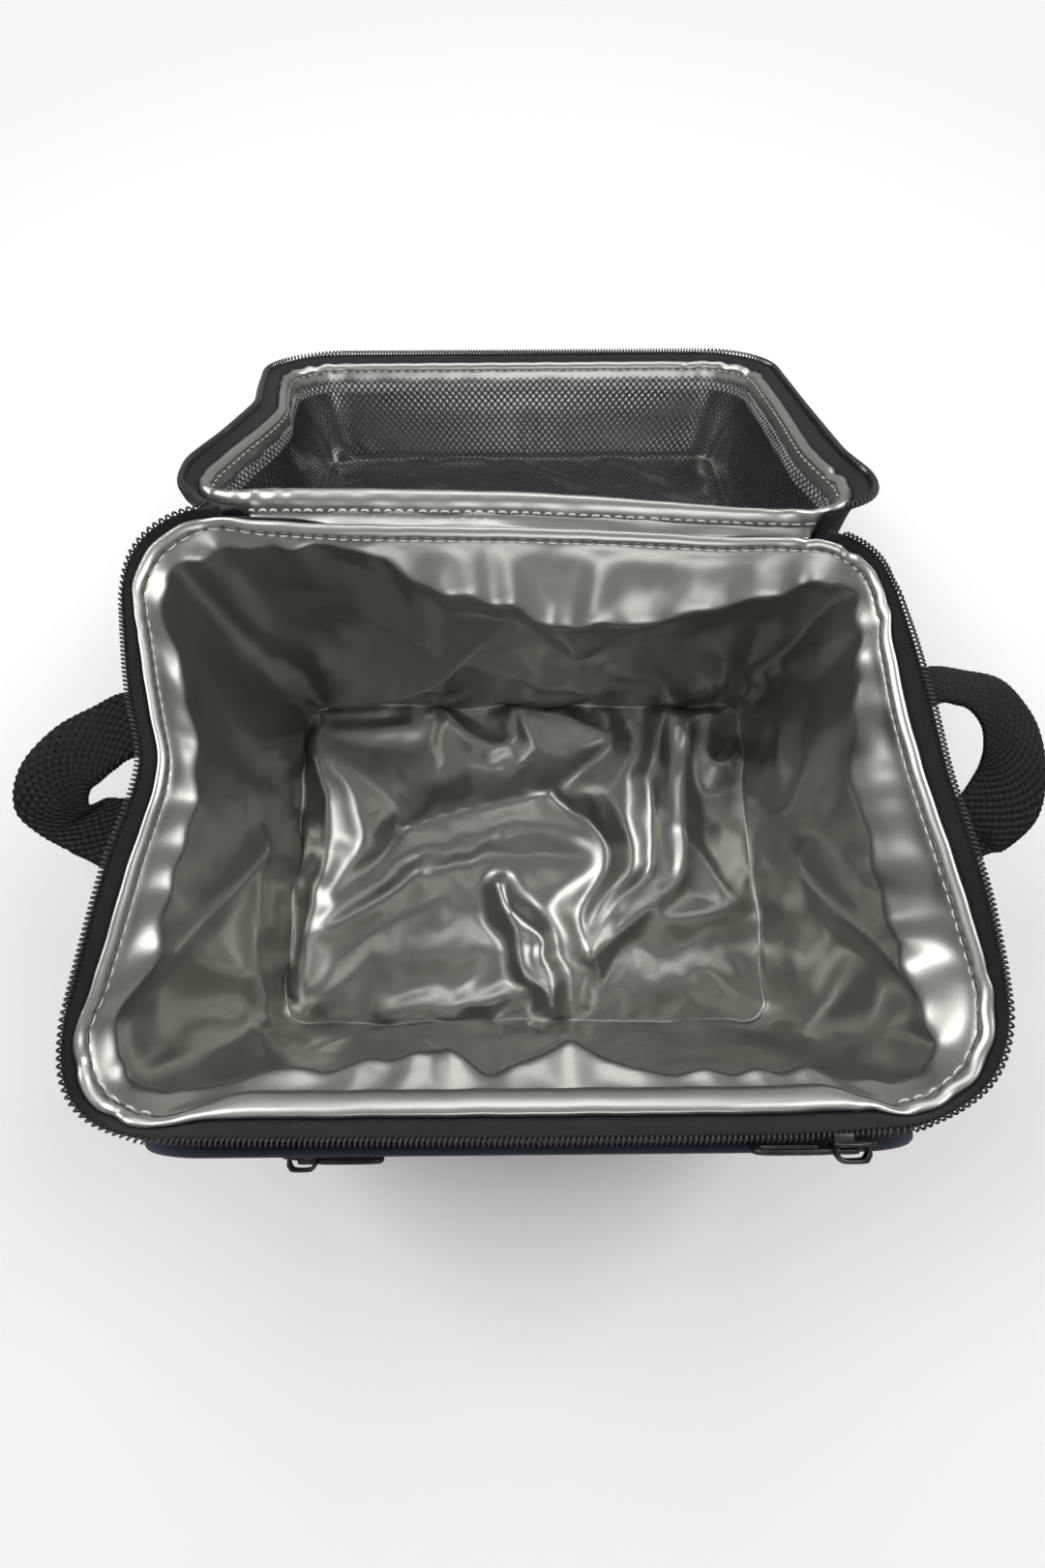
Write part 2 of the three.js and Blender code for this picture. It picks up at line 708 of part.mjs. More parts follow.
// Handles: a webbing loop on each side that stands out from the wall, and the sewn-down tabs
function handleLoop(side) {
  const rootX = bodyWidth / 2 + 2 * layerGap + 1.5 * webbingThickness;
  const middleY = (handleBackY + handleFrontY) / 2;
  const halfY = (handleBackY - handleFrontY) / 2;
  const rings = [];
  for (let step = 0; step <= handleSteps; step++) {
    const share = step / handleSteps;
    const turn = share * Math.PI;
    const out = handleReach * Math.pow(Math.sin(turn), 0.75);
    const centre = new THREE.Vector3(
      side * (rootX + out),
      middleY + halfY * Math.cos(turn),
      handleHeight + handleRise * Math.sin(turn),
    );
    const tilt = THREE.MathUtils.degToRad(handleTilt) * Math.sin(turn);
    const outward = new THREE.Vector3(side * Math.sin(turn), Math.cos(turn), 0).normalize();
    const across = outward.multiplyScalar(Math.cos(tilt)).add(new THREE.Vector3(0, 0, -Math.sin(tilt)));
    const tangent = new THREE.Vector3(side * Math.cos(turn), -Math.sin(turn), 0).normalize();
    const normal = new THREE.Vector3().crossVectors(tangent, across).normalize();
    const section = (along, thickness) => {
      const corner = (a, b) => centre.clone()
        .addScaledVector(across, (a * webbingWidth) / 2)
        .addScaledVector(normal, (b * thickness) / 2)
        .add(new THREE.Vector3(side * along, 0, 0))
        .toArray();
      return [corner(-1, -1), corner(1, -1), corner(1, 1), corner(-1, 1)];
    };
    const root = [
      section(-rootNoseShare * webbingThickness / 2, webbingThickness * rootThinShare),
      section(-rootNoseShare * webbingThickness / 4, webbingThickness * rootNoseShare),
    ];
    if (step === 0) rings.push(...root);
    rings.push(section(0, webbingThickness));
    if (step === handleSteps) rings.push(...root.reverse());
  }
  return loft(rings, [[-1, -1], [1, -1], [1, 1], [-1, 1]]);
}

function handleTab(side, middleY) {
  const tab = new THREE.BoxGeometry(webbingThickness, webbingWidth, tabHeight);
  const x = side * (bodyWidth / 2 + layerGap + webbingThickness / 2);
  tab.translate(x, middleY, handleHeight + webbingThickness - tabHeight / 2);
  return tab;
}
for (const [label, side] of [['left', -1], ['right', 1]]) {
  addMesh(root, `${label}_handle`, handleLoop(side), webbingBlack);
  addMesh(root, `${label}_handle_tab_back`, handleTab(side, handleBackY), webbingBlack);
  addMesh(root, `${label}_handle_tab_front`, handleTab(side, handleFrontY), webbingBlack);
}

// Main slider, parked at the right end of the straight front, outside the coil
const mainSlider = new THREE.Group();
mainSlider.position.set(
  bodyWidth / 2 - cornerRadius - mainSliderEndGap,
  -bodyDepth / 2 - coilReach - layerGap,
  partingHeight,
);
mainSlider.rotation.set(Math.PI / 2, 0, Math.PI);
root.add(mainSlider);
addMesh(mainSlider, 'main_slider', fromSolid(sliderBody(mainLipIn)), sliderMetal);

const pullPivotHeight = sliderPlate + bridgeOpening / 2;
const mainPull = addMesh(mainSlider, 'main_pull', pullTab(), sliderMetal);
mainPull.position.set(0, 0, pullPivotHeight);

// Pocket slider, at the left end of its zipper, with its wide end facing the parted tapes
const pocketLipIn = pocketSlotWidth / 2 + pocketCoilWidth + layerGap;
const pocketSlider = new THREE.Group();
const pocketSliderX = (sliderLength - pocketZipLength) / 2 + pocketSliderEndGap;
pocketSlider.position.set(
  pocketSliderX,
  pocketZipY,
  pocketCoilBase + pocketCoilHeight + layerGap,
);
pocket.add(pocketSlider);
addMesh(pocketSlider, 'pocket_slider', fromSolid(sliderBody(pocketLipIn)), sliderMetal);
const pocketPull = addMesh(pocketSlider, 'pocket_pull', pullTab(), sliderMetal);
pocketPull.position.set(0, 0, pullPivotHeight);

export default root;
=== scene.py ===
import bpy
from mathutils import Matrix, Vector
import bmesh
import math
import numpy as np


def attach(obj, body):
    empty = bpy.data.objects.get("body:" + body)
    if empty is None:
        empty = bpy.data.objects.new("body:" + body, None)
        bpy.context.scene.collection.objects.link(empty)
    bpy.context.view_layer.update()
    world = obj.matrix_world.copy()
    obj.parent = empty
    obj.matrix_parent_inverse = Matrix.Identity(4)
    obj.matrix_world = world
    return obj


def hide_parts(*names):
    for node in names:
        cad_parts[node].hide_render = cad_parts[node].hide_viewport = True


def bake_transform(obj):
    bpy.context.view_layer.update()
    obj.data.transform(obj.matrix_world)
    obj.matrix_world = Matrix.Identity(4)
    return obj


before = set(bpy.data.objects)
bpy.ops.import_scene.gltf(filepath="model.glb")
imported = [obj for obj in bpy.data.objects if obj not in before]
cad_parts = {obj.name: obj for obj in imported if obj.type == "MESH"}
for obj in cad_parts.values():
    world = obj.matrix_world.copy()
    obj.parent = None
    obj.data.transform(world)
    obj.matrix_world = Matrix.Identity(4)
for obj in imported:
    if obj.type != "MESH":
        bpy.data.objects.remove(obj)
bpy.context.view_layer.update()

# Lengths are in millimetres here and become metres in make_mesh. The body's plan is a rounded rectangle.
HALF_X, HALF_Y, RAD = 112.0, 81.0, 24.0
# Half of the straight part of a long and of a short side, the length of one corner, and the whole way round
FLAT_X, FLAT_Y, ARC = HALF_X - RAD, HALF_Y - RAD, math.pi / 2 * RAD
LOOP = 4 * (FLAT_X + FLAT_Y + ARC)
# Height at which body and lid part, place of the hinge behind the middle, and how far the lid is open
PART, HINGE_Y, LID_OPEN = 141.0, 89.5, math.radians(209)


def base_loop(s):
    """Points and outward normals of the body's plan at arc lengths s, from the back centre leftwards."""
    a, b = FLAT_X, FLAT_Y
    s = np.asarray(s, float) % LOOP
    point, normal, start = np.zeros(s.shape + (2,)), np.zeros(s.shape + (2,)), 0.0
    parts = [(a, (0, HALF_Y), (-1, 0), (0, 1)), (ARC, (-a, b), 90, None),
             (2 * b, (-HALF_X, b), (0, -1), (-1, 0)), (ARC, (-a, -b), 180, None),
             (2 * a, (-a, -HALF_Y), (1, 0), (0, -1)), (ARC, (a, -b), 270, None),
             (2 * b, (HALF_X, -b), (0, 1), (1, 0)), (ARC, (a, b), 0, None),
             (a, (a, HALF_Y), (-1, 0), (0, 1))]
    for length, origin, way, out in parts:
        here = (s >= start - 1e-9) & (s <= start + length + 1e-9)
        along = s[here] - start
        if out is not None:
            point[here] = np.array(origin) + along[:, None] * np.array(way)
            normal[here] = out
        else:
            angle = np.radians(way) + along / RAD
            normal[here] = np.stack([np.cos(angle), np.sin(angle)], -1)
            point[here] = np.array(origin) + RAD * normal[here]
        start += length
    return point, normal


# How far the soft rim stands out from its flat pattern, by arc length: at the coil, and at the bead
COIL_SWAY = [(0, 1.5), (60, 4.0), (92, 5.0), (100, 6.6), (108, 7.2), (114, 6.0), (122, 2.6), (131, 1.1),
             (149, -2.6), (160, -5.5), (167, -8.5), (175, -10.8), (186, -9.0), (199, -5.3), (215, -3.1),
             (246, 0.4), (254, 3.0), (262, 3.0), (272, 0.6), (307, 1.1), (364, 1.6), (429, 1.3), (458, -0.7),
             (468, 0.8), (477, 3.0), (488, 3.8), (502, 4.7), (520, 4.3), (538, 1.7), (551, -0.7), (572, -1.8),
             (590, -4.0), (609, -7.6), (617, -6.0), (628, -5.6), (640, -6.6), (680, -2.0), (LOOP, 1.5)]
BEAD_SWAY = [(0, 4.5), (60, 6.0), (90, 8.5), (100, 13.5), (107, 17.0), (114, 15.0), (121, 9.0), (130, 6.0),
             (147, 1.5), (160, -2.5), (173, -6.5), (184, -6.0), (199, -2.6), (218, 0.4), (240, 4.0),
             (249, 9.0), (257, 15.0), (264, 12.0), (272, 6.5), (285, 3.6), (364, 3.6), (427, 3.6), (452, 3.0),
             (462, 7.0), (471, 13.5), (479, 14.5), (490, 11.0), (518, 7.4), (538, 4.0), (555, 1.2),
             (573, -0.6), (595, -1.2), (608, 1.0), (615, 4.5), (623, 6.5), (631, 4.5), (640, 1.0),
             (664, 0.4), (700, 3.0), (LOOP, 4.5)]
# Where across the rim the one takes over from the other, how far the bead may pass the coil, and the
# height at which the sway starts with the rise to its full size
BEAD_OUT, COIL_OUT, BEAD_PAST_COIL, SWAY_LOW, SWAY_RISE = -1.1, 8.0, 6.6, 25, 105


def smooth_table(table, width):
    """A periodic table of values by arc length, smoothed."""
    grid = np.arange(0, LOOP, 1.0)
    value = np.interp(grid, [t[0] for t in table], [t[1] for t in table])
    reach = int(3 * width)
    kernel = np.exp(-0.5 * (np.arange(-reach, reach + 1) / width) ** 2)
    kernel /= kernel.sum()
    ring = np.concatenate([value[-reach:], value, value[:reach]])
    return grid, np.convolve(ring, kernel, "valid")


COIL_TABLE = smooth_table(COIL_SWAY, 3.5)
BEAD_TABLE = smooth_table(BEAD_SWAY, 2.5)
RING_S = np.arange(0, LOOP, 0.5)
RING_POINTS = base_loop(RING_S)[0]
RING_ANGLE = np.unwrap(np.arctan2(RING_POINTS[:, 1], RING_POINTS[:, 0]))


def table(values, s):
    """The value of a smoothed table at arc lengths s."""
    return np.interp(np.asarray(s) % LOOP, values[0], values[1], period=LOOP)


def station_of(x, y):
    """The arc length whose ray from the middle passes a point, and the share of the way out to it."""
    angle = np.arctan2(y, x)
    low = RING_ANGLE[0]
    angle = low + (angle - low) % (2 * math.pi)
    s = np.interp(angle, RING_ANGLE, RING_S)
    p, n = base_loop(s)
    share = np.hypot(x, y) / np.hypot(p[:, 0], p[:, 1])
    return s, share, n


def ease(x):
    """0 below 0 and 1 above 1, with a smooth change between."""
    x = np.clip(x, 0.0, 1.0)
    return x * x * (3 - 2 * x)


def rim_place(x, y):
    """For points of the plan: arc length, share of the way out, normal, and share of the coil's sway."""
    s, share, n = station_of(x, y)
    p, _ = base_loop(s)
    out = (share - 1) * np.hypot(p[:, 0], p[:, 1]) * np.abs((p * n).sum(1)) / (p ** 2).sum(1) ** 0.5
    return s, np.clip(share, 0, 1), n, np.clip((out - BEAD_OUT) / (COIL_OUT - BEAD_OUT), 0, 1)


def sway_body(points):
    """Moves points of the flat pattern of the body to where the soft bag has them."""
    x, y, z = points.T
    s, share, n, mix = rim_place(x, y)
    at_coil = table(COIL_TABLE, s)
    at_bead = np.minimum(table(BEAD_TABLE, s), at_coil + BEAD_PAST_COIL)
    d = (at_bead * (1 - mix) + at_coil * mix) * ease((z - SWAY_LOW) / SWAY_RISE) * share ** 2
    return np.stack([x + n[:, 0] * d, y + n[:, 1] * d, z], -1)


def open_lid(points):
    """Turns lid points from the closed pose to the open one."""
    c, s = math.cos(-LID_OPEN), math.sin(-LID_OPEN)
    pivot = np.array([0, HINGE_Y, PART])
    return (points - pivot) @ np.array([[1, 0, 0], [0, c, -s], [0, s, c]]).T + pivot


# Camera, at the photo's viewing angle. The focal length is in pixels of the photo.
PHOTO_HEIGHT, FOCAL_PIXELS, SENSOR = 1620.0, 710.0, 36.0
cam_data = bpy.data.cameras.new("camera")
cam_data.sensor_fit = "AUTO"
cam_data.sensor_width = SENSOR
cam_data.lens = FOCAL_PIXELS / PHOTO_HEIGHT * SENSOR
cam_data.clip_start = 0.01
cam = bpy.data.objects.new("camera", cam_data)
cam.location = (-0.0015, -0.0493, 0.325)
cam.rotation_euler = (math.radians(15.13), 0.0, math.radians(-0.51))
bpy.context.scene.collection.objects.link(cam)
bpy.context.scene.camera = cam


# Materials
class Nodes:
    """Small helper to wire a material."""

    def __init__(self, name):
        self.mat = bpy.data.materials.new(name)
        self.mat.use_nodes = True
        self.tree = self.mat.node_tree
        self.bsdf = self.tree.nodes["Principled BSDF"]

    def add(self, kind, **values):
        node = self.tree.nodes.new(kind)
        for key, value in values.items():
            if key in node.inputs:
                node.inputs[key].default_value = value
            else:
                setattr(node, key, value)
        return node

    def link(self, a, b):
        self.tree.links.new(a, b)

    def coords(self, uv=False):
        return self.add("ShaderNodeTexCoord").outputs["UV" if uv else "Object"]

    def math(self, op, a, b):
        node = self.add("ShaderNodeMath", operation=op)
        for i, v in enumerate((a, b)):
            if isinstance(v, (int, float)):
                node.inputs[i].default_value = v
            else:
                self.link(v, node.inputs[i])
        return node.outputs[0]

    def scale(self, value, factor, offset):
        """value times factor plus offset, where offset is a number or a second value"""
        return self.math("ADD", self.math("MULTIPLY", value, factor), offset)

    def weigh(self, a, share_a, b, share_b):
        return self.scale(a, share_a, self.math("MULTIPLY", b, share_b))

    def ramp(self, value, stops):
        node = self.add("ShaderNodeValToRGB")
        el = node.color_ramp.elements
        while len(el) < len(stops):
            el.new(0.5)
        for e, (pos, colour) in zip(el, stops):
            e.position = pos
            e.color = (*colour, 1)
        self.link(value, node.inputs[0])
        return node.outputs[0]

    def noise(self, vector, scale, detail=3.0):
        node = self.add("ShaderNodeTexNoise", Scale=scale, Detail=detail, Roughness=0.55)
        self.link(vector, node.inputs["Vector"])
        return node.outputs["Fac"]

    def bump(self, height, distance):
        node = self.add("ShaderNodeBump", Distance=distance)
        self.link(height, node.inputs["Height"])
        self.link(node.outputs[0], self.bsdf.inputs["Normal"])

    def colour(self, tone, low, dark, high, light):
        """Base colour from dark at tone low to light at tone high"""
        self.link(self.ramp(tone, [(low, dark), (high, light)]), self.bsdf.inputs["Base Color"])

    def rough(self, value, middle, spread):
        """Roughness about middle, changed by spread with a noise value about a half"""
        self.link(self.scale(value, spread, middle - spread / 2), self.bsdf.inputs["Roughness"])

    def set(self, **values):
        for key, value in values.items():
            self.bsdf.inputs[key.replace("_", " ")].default_value = value


def weave_material(name, dark, light, pitch, rough=0.8, sheen=0.2, depth=0.00012, gloss=0.3):
    """Plain weave: two crossing sets of threads, by the sine of each direction."""
    m = Nodes(name)
    sep = m.add("ShaderNodeSeparateXYZ")
    m.link(m.coords(uv=True), sep.inputs[0])
    k = 2 * math.pi / pitch
    warp, weft = (m.math("SINE", m.math("MULTIPLY", sep.outputs[i], k), 0.0) for i in (0, 1))
    height = m.scale(m.math("MULTIPLY", warp, weft), 0.5, 0.5)
    soft, fleck = m.noise(m.coords(), 60.0, 4.0), m.noise(m.coords(), 1800.0, 2.0)
    # Colour follows the thread height: raised threads are painted lighter and the hollows between them
    # darker, which is painted highlight and shade on the weave; the noise adds real random tone.
    m.colour(m.weigh(m.weigh(height, 0.5, fleck, 0.5), 0.7, soft, 0.3), 0.3, dark, 0.7, light)
    m.rough(soft, rough, 0.2)
    m.set(Sheen_Weight=sheen, Specular_IOR_Level=gloss)
    m.bump(m.math("ADD", height, m.math("MULTIPLY", fleck, 0.4)), depth)
    return m.mat


def foil_material(name, colour, rough, spread, depth=0.0004):
    """Metallised film: a soft uneven gloss, faint short creases in patches and a fine grain."""
    m = Nodes(name)
    v = m.coords()
    broad, fine = m.noise(v, 22.0), m.noise(v, 900.0, 2.0)
    warp = m.add("ShaderNodeTexNoise", Scale=14.0)
    m.link(v, warp.inputs["Vector"])
    scaled = m.add("ShaderNodeVectorMath", operation="SCALE", Scale=0.08)
    m.link(warp.outputs["Color"], scaled.inputs[0])
    bent = m.add("ShaderNodeVectorMath", operation="ADD")
    m.link(v, bent.inputs[0])
    m.link(scaled.outputs[0], bent.inputs[1])
    crease = m.add("ShaderNodeTexVoronoi", feature="DISTANCE_TO_EDGE", Scale=26.0)
    m.link(bent.outputs[0], crease.inputs["Vector"])
    line = m.math("MINIMUM", crease.outputs["Distance"], 0.035)
    patch = m.math("MULTIPLY", m.math("MAXIMUM", m.math("SUBTRACT", broad, 0.52), 0.0), 4.0)
    dark = tuple(c * (1 - spread) for c in colour)
    m.colour(m.weigh(broad, 0.7, fine, 0.3), 0.35, dark, 0.65, colour)
    m.rough(broad, rough, 0.12)
    m.set(Metallic=0.92)
    m.bump(m.math("ADD", m.math("MULTIPLY", line, patch), m.math("MULTIPLY", fine, 0.02)), depth)
    return m.mat


def plastic_material(name, dark, light, rough, grain=600.0, depth=0.00005, metal=0.0):
    """Smooth stuff with a fine grain: plastic, foam, thread, or metal where metal is above 0."""
    m = Nodes(name)
    n = m.noise(m.coords(), grain)
    m.colour(n, 0.3, dark, 0.7, light)
    m.rough(n, rough, 0.2)
    m.set(Metallic=metal)
    m.bump(n, depth)
    return m.mat


MAT = {
    "black": weave_material("black_fabric", (0.008, 0.008, 0.009), (0.034, 0.033, 0.035), 0.0009, 0.75, 0.15),
    "navy": weave_material("navy_fabric", (0.008, 0.011, 0.020), (0.030, 0.040, 0.075), 0.0010),
    "tape": weave_material("zipper_tape", (0.008, 0.008, 0.008), (0.030, 0.028, 0.029), 0.0008, 0.85, 0.1),
    "foil": foil_material("silver_foil", (0.42, 0.42, 0.385), 0.34, 0.14),
    # A darker copy of the same silver foil for the lid's film: painted shade of the net that lies over it,
    # not a different film.
    "shaded_foil": foil_material("lid_foil_painted_shade", (0.34, 0.34, 0.32), 0.25, 0.10),
    "binding": foil_material("silver_binding", (0.55, 0.55, 0.52), 0.33, 0.08, 0.0002),
    "foam": plastic_material("foam", (0.70, 0.70, 0.67), (0.80, 0.80, 0.78), 0.85, 400.0, 0.0002),
    "coil": plastic_material("zipper_coil", (0.018, 0.017, 0.018), (0.05, 0.048, 0.05), 0.32, 900.0),
    # The webbing's light tone on its raised ribs gives rows of painted highlights.
    "webbing": weave_material("webbing", (0.002, 0.002, 0.002), (0.020, 0.020, 0.021), 0.0031, 0.42, 0.0,
                              0.0008, 0.16),
    "mesh": plastic_material("black_mesh", (0.006, 0.006, 0.007), (0.02, 0.02, 0.021), 0.55, 1500.0),
    "thread": plastic_material("white_thread", (0.58, 0.57, 0.52), (0.76, 0.75, 0.69), 0.5, 2500.0),
    "metal": plastic_material("slider_metal", (0.05, 0.047, 0.043), (0.09, 0.085, 0.08), 0.35, 300.0,
                              0.00003, 0.9),
}


# Mesh helpers
def make_mesh(name, points, faces, material, uv=None, smooth=True, levels=0):
    """Makes an object from points in millimetres. uv holds one pair in metres for each corner."""
    mesh = bpy.data.meshes.new(name)
    mesh.from_pydata((np.asarray(points) * 0.001).tolist(), [], [list(map(int, f)) for f in faces])
    if uv is not None:
        layer = mesh.uv_layers.new(name="UVMap")
        layer.data.foreach_set("uv", np.asarray(uv, np.float32).reshape(-1))
    mesh.validate()
    mesh.update()
    if smooth:
        mesh.shade_smooth()
    mesh.materials.append(MAT[material])
    obj = bpy.data.objects.new(name, mesh)
    bpy.context.scene.collection.objects.link(obj)
    if levels:
        sub = obj.modifiers.new("sub", "SUBSURF")
        sub.levels = sub.render_levels = levels
    return obj


def grid_numbers(rows, cols, close_rows, close_cols):
    """Row and column number of each quad of a grid of points."""
    r = np.arange(rows if close_rows else rows - 1)
    c = np.arange(cols if close_cols else cols - 1)
    return np.meshgrid(r, c, indexing="ij")


def grid_faces(rows, cols, close_rows=False, close_cols=False):
    """Quads of a grid of rows by cols points, as an array of indices."""
    r, c = grid_numbers(rows, cols, close_rows, close_cols)
    r2, c2 = (r + 1) % rows, (c + 1) % cols
    quads = np.stack([r * cols + c, r * cols + c2, r2 * cols + c2, r2 * cols + c], -1)
    return quads.reshape(-1, 4)


def grid_uv(rows, cols, u, v, close_rows, close_cols):
    """Corner pairs for grid_faces, from a length for each row and each column, in metres."""
    r, c = grid_numbers(rows, cols, close_rows, close_cols)
    u = np.append(u, 2 * u[-1] - u[-2])
    v = np.append(v, 2 * v[-1] - v[-2])
    corners = [(u[r], v[c]), (u[r], v[c + 1]), (u[r + 1], v[c + 1]), (u[r + 1], v[c])]
    return np.stack([np.stack(k, -1) for k in corners], 2).reshape(-1, 2) * 0.001


def border(grid):
    """The rim of an array of a grid's numbers, once round from its first one."""
    return np.concatenate([grid[:-1, 0], grid[-1, :-1], grid[:0:-1, -1], grid[0, :0:-1]])


def arc_lengths(line):
    """Length along a line of points, at each of them."""
    return np.concatenate([[0], np.cumsum(np.linalg.norm(np.diff(line, axis=0), axis=1))])


def strip(name, rows, u, v, material, close_rows=False, flip=False):
    """A closed skin over rows of points, with caps on open ends. flip turns its faces over."""
    count, cols = rows.shape[:2]
    faces, uv = grid_faces(count, cols, close_rows, True), grid_uv(count, cols, u, v, close_rows, True)
    caps = [] if close_rows else [range(cols)[::-1], range((count - 1) * cols, count * cols)]
    if flip:
        faces, caps = faces[:, ::-1], [cap[::-1] for cap in caps]
        uv = uv.reshape(-1, 4, 2)[:, ::-1].reshape(-1, 2)
    uv = np.concatenate([uv, np.zeros((len(caps) * cols, 2))])
    return make_mesh(name, rows.reshape(-1, 3), [*faces, *caps], material, uv)


def sweep(name, s, profile, material, close_loop, place=sway_body):
    """Sweeps a closed profile of [outward, height] points along the rim, one row of it for each station."""
    base, normal = base_loop(s)
    xy = base[:, None, :] + normal[:, None, :] * profile[:, :, :1]
    points = np.concatenate([xy, profile[:, :, 1:]], -1)
    rows = place(points.reshape(-1, 3)).reshape(points.shape)
    return strip(name, rows, s, arc_lengths(profile[len(profile) // 2]), material, close_loop, True)


def wave(s, seed, lengths, period=LOOP):
    """Smooth noise along the loop from a few sine waves, periodic, about -1 to 1."""
    rng = np.random.default_rng(seed)
    total = np.zeros_like(np.asarray(s, float))
    for length in lengths:
        count = max(1, round(period / length))
        for k in (count - 1, count, count + 1):
            total += rng.uniform(0.5, 1) * np.sin(2 * math.pi * k * s / period + rng.uniform(0, 6.28))
    return total / (1.3 * math.sqrt(len(lengths) * 3))


def corner_share(s, reach):
    """1 in the round corners, easing to 0 along the straight sides."""
    mids = np.cumsum([FLAT_X + ARC / 2, ARC + 2 * FLAT_Y, ARC + 2 * FLAT_X, ARC + 2 * FLAT_Y])
    s = np.asarray(s) % LOOP
    share = np.zeros_like(s)
    for m in mids:
        gap = np.abs((s - m + LOOP / 2) % LOOP - LOOP / 2)
        share = np.maximum(share, ease((reach + ARC / 2 - gap) / reach))
    return share


def stand_for(piece, body, *nodes):
    """Lets a piece ride on a body of the part and take the place of its nodes."""
    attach(piece, body)
    if nodes:
        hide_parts(*nodes)
    return piece


# How far the lid's soft rim stands out from its flat pattern, as for the body
LID_COIL_SWAY = [(0, 0), (94, 0.5), (109, -3.5), (123, -3), (140, 0), (164, -5), (197, -9), (215, -5),
                 (246, 0), (460, 0), (539, -3), (589, -4), (612, 0), (626, 3), (640, 2), (LOOP, 0)]
LID_BEAD_SWAY = [(0, -6), (50, -9), (95, -10), (108, -5), (122, 0), (132, 1.5), (158, -3), (181, -8),
                 (201, -10), (220, -5), (250, 0), (480, 0), (531, -1), (580, -4), (600, -2), (618, 1),
                 (628, 5), (640, 5), (656, 4), (702, -2), (LOOP, -6)]
LID_LIFT = [(0, 2), (95, 2.4), (125, 0), (620, 0), (656, 0), (702, 1.6), (LOOP, 2)]
LID_COIL_TABLE = smooth_table(LID_COIL_SWAY, 4)
LID_BEAD_TABLE = smooth_table(LID_BEAD_SWAY, 5)
LID_LIFT_TABLE = smooth_table(LID_LIFT, 8)
# Rise above the rim between which the walls start and end to lean in, and how far they do
LEAN_START, LEAN_END, LEAN_SIDE, LEAN_BACK = 20.0, 44.0, 5.0, 14.0
# Rise at which the sway and the lift have faded out, and over how much they fade
SWAY_TOP, SWAY_FADE, LIFT_TOP, LIFT_FADE = 40, 34, 26, 20


def lean_lid(points):
    """The lid's walls lean in towards its top, most at the back."""
    x, y, z = points.T
    share = np.clip((z - PART - LEAN_START) / (LEAN_END - LEAN_START), 0, 1)
    side, back = LEAN_SIDE * share, LEAN_BACK * share
    x = x * (HALF_X - side) / HALF_X
    y = -HALF_Y + side + (y + HALF_Y) * (2 * HALF_Y - side - back) / (2 * HALF_Y)
    return np.stack([x, y, z], -1)


def sway_lid(points):
    """Moves points of the lid's flat pattern, closed, to where the soft lid has them."""
    x, y, z = points.T
    s, share, n, mix = rim_place(x, y)
    rise = z - PART
    d = table(LID_BEAD_TABLE, s) * (1 - mix) + table(LID_COIL_TABLE, s) * mix
    d *= ease((SWAY_TOP - rise) / SWAY_FADE) * share ** 2
    lift = table(LID_LIFT_TABLE, s) * ease((LIFT_TOP - rise) / LIFT_FADE)
    lift *= (1 - ease(mix * 2)) * np.clip(share * 2 - 1, 0, 1)
    return np.stack([x + n[:, 0] * d, y + n[:, 1] * d, z - lift], -1)


def lid_place(points):
    """From the lid's flat pattern, closed, to the soft lid, open."""
    return open_lid(sway_lid(lean_lid(points)))


# Soft film by position-based dynamics
def colour_edges(edges, count):
    """Splits edges into groups in which no vertex comes twice."""
    last = [0] * count
    groups = []
    for k, (a, b) in enumerate(edges.tolist()):
        used = last[a] | last[b]
        g = 0
        while used >> g & 1:
            g += 1
        if g == len(groups):
            groups.append([])
        groups[g].append(k)
        last[a] |= 1 << g
        last[b] |= 1 << g
    return [np.array(g) for g in groups]


def relax(points, edges, rest, stiff, weight, steps, rounds, pull, contact, damp=0.9):
    """Lets a film settle. weight is 0 for a held point; pull is the fall that each step adds."""
    data = []
    for g in colour_edges(edges, len(points)):
        a, b = edges[g, 0], edges[g, 1]
        w = weight[a] + weight[b]
        keep = w > 0
        a, b, w = a[keep], b[keep], w[keep]
        data.append((a, b, rest[g][keep], (stiff[g][keep] * weight[a] / w)[:, None],
                     (stiff[g][keep] * weight[b] / w)[:, None]))
    old = points.copy()
    free = weight[:, None] > 0
    fall = np.array([0.0, 0.0, -pull])
    for _ in range(steps):
        speed = (points - old) * damp
        old = points.copy()
        points = points + np.where(free, speed + fall, 0.0)
        for _ in range(rounds):
            for a, b, length, wa, wb in data:
                d = points[b] - points[a]
                now = np.sqrt((d * d).sum(1)) + 1e-9
                d *= ((now - length) / now)[:, None]
                points[a] += wa * d
                points[b] -= wb * d
        points = np.where(free, contact(points), points)
    return points


def round_perimeter(hx, hy, r, nx, ny):
    """Points round a rounded rectangle, from the middle of its back right corner leftwards."""
    def arc(cx, cy, a0, a1):
        t = np.radians(np.linspace(a0, a1, 24))
        return np.stack([cx + r * np.cos(t), cy + r * np.sin(t)], -1)
    cx, cy = hx - r, hy - r
    corners = [(cx, cy), (-cx, cy), (-cx, -cy), (cx, -cy)]
    out = []
    for k, n in enumerate((nx, ny, nx, ny)):
        turn = 90 * k
        side = np.concatenate([arc(*corners[k], turn + 45, turn + 90),
                               arc(*corners[(k + 1) % 4], turn + 90, turn + 135)])
        length = arc_lengths(side)
        at = np.linspace(0, length[-1], n + 1)[:-1]
        out.append(np.stack([np.interp(at, length, side[:, i]) for i in (0, 1)], -1))
    return np.concatenate(out)


